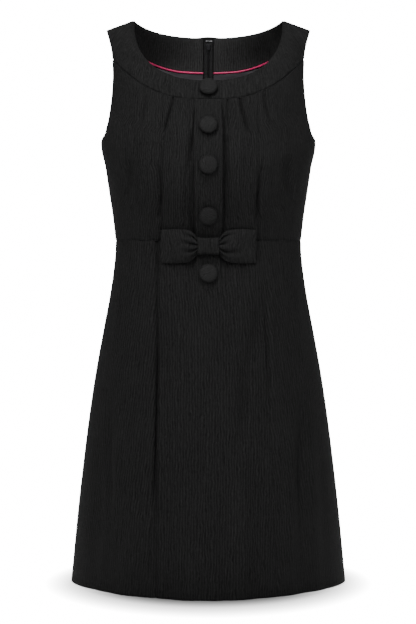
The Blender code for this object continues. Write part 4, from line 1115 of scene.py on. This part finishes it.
def makeZip():
    size = zipSizes
    levels = np.concatenate([np.linspace(size["start"], 1, 22), np.linspace(1, 8, 80)[1:]])
    skirtLevels = np.linspace(0, closureSizes["skirtLevel"], 52)[1:]
    inward = -(halfWall + cloth["insideGap"])
    for side, word in sides:
        grid = stripPoints(side * np.linspace(0.0, size["halfWidth"], 8), levels, skirtLevels)
        panel(f"zip_tape_{word}", movedOut(grid, inward - size["wall"] / 2, 1), "tape", "tape",
              wall=size["wall"], offset=(12 + side * 0.1, 0.6))

    grid = stripPoints(np.array([-0.001, 0.0, 0.001]), levels, skirtLevels)
    line = movedOut(grid, inward - size["tapeFace"] - size["coilRadius"], 1)[5:, 1]
    length = lengthsAlong(line)[-1]
    line = pointsAt(line, np.linspace(0, length, int(length / (size["turnPitch"] / size["stepsInTurn"]))))
    lead = np.array([1.0, 0.0, 0.0])
    rest = np.cross(unit(np.gradient(line, axis=0)), lead)
    turn = np.arange(len(line)) * 2 * np.pi / size["stepsInTurn"]
    reach = size["coilRadius"] - size["wire"]
    joined = bmesh.new()
    for side, _ in sides:
        angle = (side * turn + 1.57 * (side > 0))[:, None]
        winding = reach * (size["flattened"] * np.cos(angle) * lead + np.sin(angle) * rest)
        joined.from_mesh(tubeMesh("coil", line + side * lead * size["coilGap"] + winding, size["wire"], 4))
    cord = line[:: size["stepsInTurn"]]  # the coil is sewn over it
    joined.from_mesh(tubeMesh("cord", cord, size["cordRadius"], 8))
    mesh = bpy.data.meshes.new("zipCoil")
    joined.to_mesh(mesh)
    joined.free()
    mesh.shade_smooth()
    declare(addObject("zipCoil", mesh, looks["coil"]), "zip_coil")


def select(*pieces):
    bpy.ops.object.select_all(action="DESELECT")
    for piece in pieces:
        piece.select_set(True)
    bpy.context.view_layer.objects.active = pieces[0]


def changed(made, kind, **settings):
    step = assign(made.modifiers.new("step", kind), **settings)
    select(made)
    bpy.ops.object.modifier_apply(modifier=step.name)
    return made


def bevelled(made, width):
    return changed(made, "BEVEL", width=width, segments=2, limit_method="ANGLE", angle_limit=0.6)


def cutOut(made, tool):
    changed(made, "BOOLEAN", operation="DIFFERENCE", object=tool)
    bpy.data.objects.remove(tool)
    return made


def freshBox(low, high, cuts=0):
    bpy.ops.object.select_all(action="DESELECT")
    bpy.ops.mesh.primitive_cube_add(size=1.0)
    box = bpy.context.object
    low, high = Vector(low), Vector(high)
    box.data.transform(Matrix.Translation((low + high) / 2) @ Matrix.Diagonal((*(high - low), 1.0)))
    if cuts:
        editAll()
        bpy.ops.mesh.subdivide(number_cuts=cuts)
        bpy.ops.object.mode_set(mode="OBJECT")
    return box


def placedMetal(made, name, matrix):
    select(made)
    made.name = name
    made.data.name = name
    made.data.materials.clear()
    made.data.materials.append(looks["metal"])
    made.data.transform(matrix)
    made.matrix_world = Matrix()
    bpy.ops.object.shade_smooth_by_angle(angle=0.7)
    return made


sliderSizes = dict(half=0.0035, reach=0.0045, outer=0.0002, inner=0.0024, back=(0.0020, 0.90), foot=0.70,
                   bulge=(0.0012, 0.0002), finHalf=0.00045, finReach=0.0019, finInner=0.0006,
                   finOver=0.0018, eyeRadius=0.0010, soft=0.0003, finSoft=0.00012)
tabSizes = dict(half=0.0032, length=0.0190, neckFrom=0.0020, neckLength=0.0170, neck=0.30, thin=0.25,
                roundFrom=0.0160, roundLength=0.0030, rounding=0.80, window=(0.0013, 0.0036),
                windowSoft=0.0003, soft=0.00015)


def makeSlider():
    size = sliderSizes
    place = sliderFrame()
    axisOut, barHalf = zipSizes["axisOut"], zipSizes["barHalf"]
    face = -(cloth["wall"] + cloth["insideGap"] + zipSizes["tapeFace"])  # the inner side of the tapes
    body = freshBox((-size["half"], face - size["inner"], -size["reach"]),
                    (size["half"], face - size["outer"], size["reach"]), cuts=6)
    for point in body.data.vertices:  # a slider is wider at its mouth than at its foot
        share = (point.co.z + size["reach"]) / (2 * size["reach"])
        point.co.x *= size["foot"] + (1 - size["foot"]) * smoothStep(share * 1.6)
        if point.co.y < face - size["back"][0]:
            point.co.x *= size["back"][1]
        if point.co.y < face - size["bulge"][0]:
            point.co.y -= size["bulge"][1] * (1 - (point.co.x / size["half"]) ** 2)
    body = bevelled(body, size["soft"])

    fin = freshBox((-size["finHalf"], face - size["finInner"], -size["finReach"]),
                   (size["finHalf"], axisOut + size["finOver"], size["finReach"]))
    bpy.ops.object.select_all(action="DESELECT")
    bpy.ops.mesh.primitive_cylinder_add(vertices=24, radius=size["eyeRadius"], depth=0.004,
                                        location=(0, axisOut, 0), rotation=(0, np.pi / 2, 0))
    fin = bevelled(cutOut(fin, bpy.context.object), size["finSoft"])
    select(body, fin)
    bpy.ops.object.join()
    declare(placedMetal(body, "zipSlider", place), "zip_slider")

    # the tab turns about its top bar, which runs through the slider's eye
    size = tabSizes
    plate = freshBox((-size["half"], -barHalf, -size["length"]), (size["half"], barHalf, barHalf), cuts=9)
    for point in plate.data.vertices:
        share = np.clip((-point.co.z - size["neckFrom"]) / size["neckLength"], 0, 1)
        point.co.x *= 1.0 - size["neck"] * np.sin(np.pi * share) * (share < 1)
        if point.co.z < -size["roundFrom"]:
            low = (-point.co.z - size["roundFrom"]) / size["roundLength"]
            point.co.x *= np.sqrt(max(1 - size["rounding"] * low**2, 0.05))
        point.co.y *= 1.0 - size["thin"] * np.sin(np.pi * share)
    half, depth = size["window"]
    window = bevelled(freshBox((-half, -0.002, -depth), (half, 0.002, -barHalf)), size["windowSoft"])
    plate = bevelled(cutOut(plate, window), size["soft"])
    tab = placedMetal(plate, "pullTab", place @ Matrix.Translation((0, axisOut, 0)))
    declare(tab, "pull_tab", body="pull_tab")


hookSizes = dict(wire=0.00040, level=0.078, inward=0.0028, tall=0.80, lift=0.0008, liftReach=0.0016)
hookShapes = dict(  # how far it reaches out, x and z of its upper half in millimetres, and its very end
    wireHook=(0.52, [(-6.0, 1.7), (-6.9, 1.5), (-7.2, 0.9), (-6.9, 0.3), (-6.0, 0.2), (-3.4, 0.4),
                     (-1.0, 0.5), (-0.4, 0.0)], [(-5.5, -1.0)]),
    wireEye=(0.80, [(6.0, 1.7), (6.9, 1.5), (7.2, 0.9), (6.9, 0.3), (6.0, 0.3), (4.0, 1.1), (2.0, 1.2),
                    (0.9, 0.6), (0.7, 0.0)], []),
)


def makeHook():  # bent wire hook and eye at the top of the zip
    size = hookSizes
    near = torso(1, np.array([-0.03, 0.0, 0.03]), np.full(3, size["level"]))[1]
    for name, (reach, upper, end) in hookShapes.items():
        shape = upper + [(x, -z) for x, z in upper[-2::-1]] + end
        last = len(shape) - 1
        x, z = [through(range(last + 1), row, np.linspace(0, last, last * 6 + 1)) for row in zip(*shape)]
        x, z = x * 0.001 * reach, z * 0.001 * size["tall"]
        lift = size["lift"] * bell(x / size["liftReach"]) * (name == "wireHook")
        line = near + np.stack([x, -size["inward"] - lift, z], axis=-1)
        declare(addObject(name, tubeMesh(name, line, size["wire"], 8), looks["bright"]), None)


makeZip()
makeSlider()
makeHook()
print("zip, slider, pull tab, hook and eye made")


# ---- stitching ----
stitchSizes = dict(pitch=0.0030, length=0.0021, start=0.002, thick=0.00021, corners=6, sunk=0.5,
                   rings=((0.22, 0.45), (0.5, 0.75), (0.78, 0.45)))
# the small crossed tack that holds the placket's point, on the skirt's ring levels: x and drop of its ends
tackSizes = dict(level=2.55, out=0.00235, slope=0.2, rise=0.004)
tackEnds = [((-0.0056, 0.0), (0.0012, 0.0064)), ((-0.0050, 0.0060), (0.0008, 0.0006)),
            ((-0.0046, 0.0012), (-0.0014, 0.0098)), ((-0.0020, 0.0098), (0.0016, 0.0072)),
            ((0.0014, 0.0078), (0.0010, 0.0010))]


def addStitches(name, stitches):  # each stitch is a spindle between two ends, half sunk in the cloth
    corners, thick, sunk = stitchSizes["corners"], stitchSizes["thick"], stitchSizes["sunk"]
    turn = np.linspace(0, 2 * np.pi, corners, endpoint=False)
    points, faces = [], []
    for start, end, out in stitches:
        along = unit(end - start)
        out = unit(out - along * np.dot(out, along))
        over = np.cross(along, out)
        base = len(points)
        points.append(start - out * thick * sunk)
        for share, rise in stitchSizes["rings"]:
            middle = start + (end - start) * share + out * thick * rise
            points += [middle + thick * (np.cos(angle) * out + np.sin(angle) * over) for angle in turn]
        points.append(end - out * thick * sunk)
        last = len(points) - 1
        faces += ringFaces(base + 1, len(stitchSizes["rings"]), corners)
        for step in range(corners):
            following = (step + 1) % corners
            faces.append((base, base + 1 + following, base + 1 + step))
            faces.append((last, last - corners + step, last - corners + following))
    mesh = solidMesh(name, [tuple(point) for point in points], faces,
                     lambda face: [(loop.vert.co.x, loop.vert.co.z) for loop in face.loops])
    declare(addObject(name, mesh, looks["thread"]), None)


def makeStitches():
    face = movedOut(placketGrid, placketSizes["wall"] / 2, -1)
    stitches = []
    for side, _ in sides:
        at = int(np.argmin(np.abs(placketAcross - side * placketSizes["stitchAt"])))
        line, out = face[:-6, at], (face - placketGrid)[:-6, at]
        far = lengthsAlong(line)
        for begin in np.arange(stitchSizes["start"], far[-1] - stitchSizes["length"], stitchSizes["pitch"]):
            outward = np.array([np.interp(begin, far, out[:, axis]) for axis in range(3)])
            stitches.append((pointsAt(line, begin), pointsAt(line, begin + stitchSizes["length"]), outward))
    addStitches("placketStitches", stitches)

    size = tackSizes
    centre = skirt(-1, np.zeros(1), np.full(1, size["level"]))[0]
    stitches = [[centre + np.array([x, -size["out"] - size["slope"] * drop, size["rise"] - drop])
                 for x, drop in ends] + [np.array([0.0, -1.0, 0.0])] for ends in tackEnds]
    addStitches("placketTack", stitches)


makeStitches()
print("stitching made")


# ---- camera, floor and light ----
stageSizes = dict(
    cameraPlace=(-0.0005, -2.45, -0.451), viewAngle=22.33, floorZ=-0.8672, floorReach=9.0,
    floorColour=0.90, floorPatch=0.985, worldLight=0.36, backdropLight=16.3, aim=(0.0, 0.0, -0.40),
    # hemReach and the shadow values shape the painted shadow on the floor around the hem
    hemReach=(0.2116, 0.1700), shadowFade=0.150, shadowPower=3.8,
    shadowNarrow=1.8, shadowDeep=0.15, shadowSoft=0.066, shadowBend=2.0,
)
lampRows = [  # name, place, width and height, watts
    ("keyPanel", (-1.3, -2.7, 1.5), (1.1, 1.1), 102.0),
    ("fillPanel", (1.9, -2.5, 0.7), (1.3, 1.5), 45.0),
    ("topPanel", (0.0, -1.3, 1.9), (1.2, 0.7), 83.0),
    ("backPanel", (0.35, 3.0, -0.40), (0.9, 0.9), 220.0),
]


def makeCamera():
    bpy.ops.object.camera_add(location=stageSizes["cameraPlace"], rotation=(np.pi / 2, 0.0, 0.0))
    camera = assign(bpy.context.object, name="photoCamera")
    assign(camera.data, sensor_fit="VERTICAL", clip_start=0.05, clip_end=60.0)
    camera.data.angle = np.radians(stageSizes["viewAngle"])
    bpy.context.scene.camera = camera


def makeFloor():
    size = stageSizes
    bpy.ops.mesh.primitive_plane_add(size=2 * size["floorReach"], location=(0.0, 0.0, size["floorZ"]))
    floor = bpy.context.object
    floor.name = "paleFloor"
    look, shader = newLook("paleFloor", 0.9, specular=0.1)
    tree = look.node_tree
    points = surfacePoints(tree, "Object")
    pale = size["floorColour"]
    colour = blend(noise(points, 3.0, 3.0), (pale * size["floorPatch"],) * 3, (pale,) * 3)
    x, y = split(points)
    across, along = size["hemReach"]  # near the hem the soft shadow is partly cast by the lamps and partly painted into the floor's colour; farther out camera rays see the floor glow like the backdrop, and the glow's fade paints the shadow's outer part
    ring = ((x / across) ** 2.0 + (y / along) ** 2.0).math("SQRT")
    away = ((ring + -1.0) * ((across + along) / 2)).math("MAXIMUM", 0.0) + x**2.0 * size["shadowNarrow"]
    # painted contact shadow: the floor's colour is darkened towards the hem
    paintedShadowRamp = (away / size["shadowSoft"]).math("MINIMUM", 1.0) ** size["shadowBend"]
    paintedShade = blend(paintedShadowRamp, (size["shadowDeep"],) * 3, (1.0, 1.0, 1.0))
    feed(shader, {"Base Color": blend(1.0, colour, paintedShade, "MULTIPLY")})
    bright = (away / size["shadowFade"]).math("MINIMUM", 1.0) ** size["shadowPower"]
    seen = Value(newNode(tree, "LightPath").outputs["Is Camera Ray"])
    shine = newNode(tree, "Emission", dict(Strength=size["backdropLight"]))
    surfaces = {0: bright * seen, 1: Value(shader.outputs[0]), 2: Value(shine.outputs[0])}
    mixed = newNode(tree, "MixShader", surfaces)
    feed(tree.nodes["Material Output"], dict(Surface=Value(mixed.outputs[0])))
    floor.data.materials.append(look)


def makeLight():
    size = stageSizes
    world = bpy.data.worlds.new("studio")
    bpy.context.scene.world = world
    world.use_nodes = True
    seen = Value(newNode(world.node_tree, "LightPath").outputs["Is Camera Ray"])
    glow = seen * (size["backdropLight"] - size["worldLight"]) + size["worldLight"]
    feed(world.node_tree.nodes["Background"], dict(Color=(1.0, 1.0, 1.0, 1.0), Strength=glow))
    for name, place, area, power in lampRows:
        bpy.ops.object.light_add(type="AREA", location=place)
        turned = (Vector(size["aim"]) - Vector(place)).to_track_quat("-Z", "Y").to_euler()
        lamp = assign(bpy.context.object, name=name, rotation_euler=turned)
        assign(lamp.data, shape="RECTANGLE", size=area[0], size_y=area[1], energy=power)


makeCamera()
makeFloor()
makeLight()
print("stage made")

bpy.context.view_layer.update()
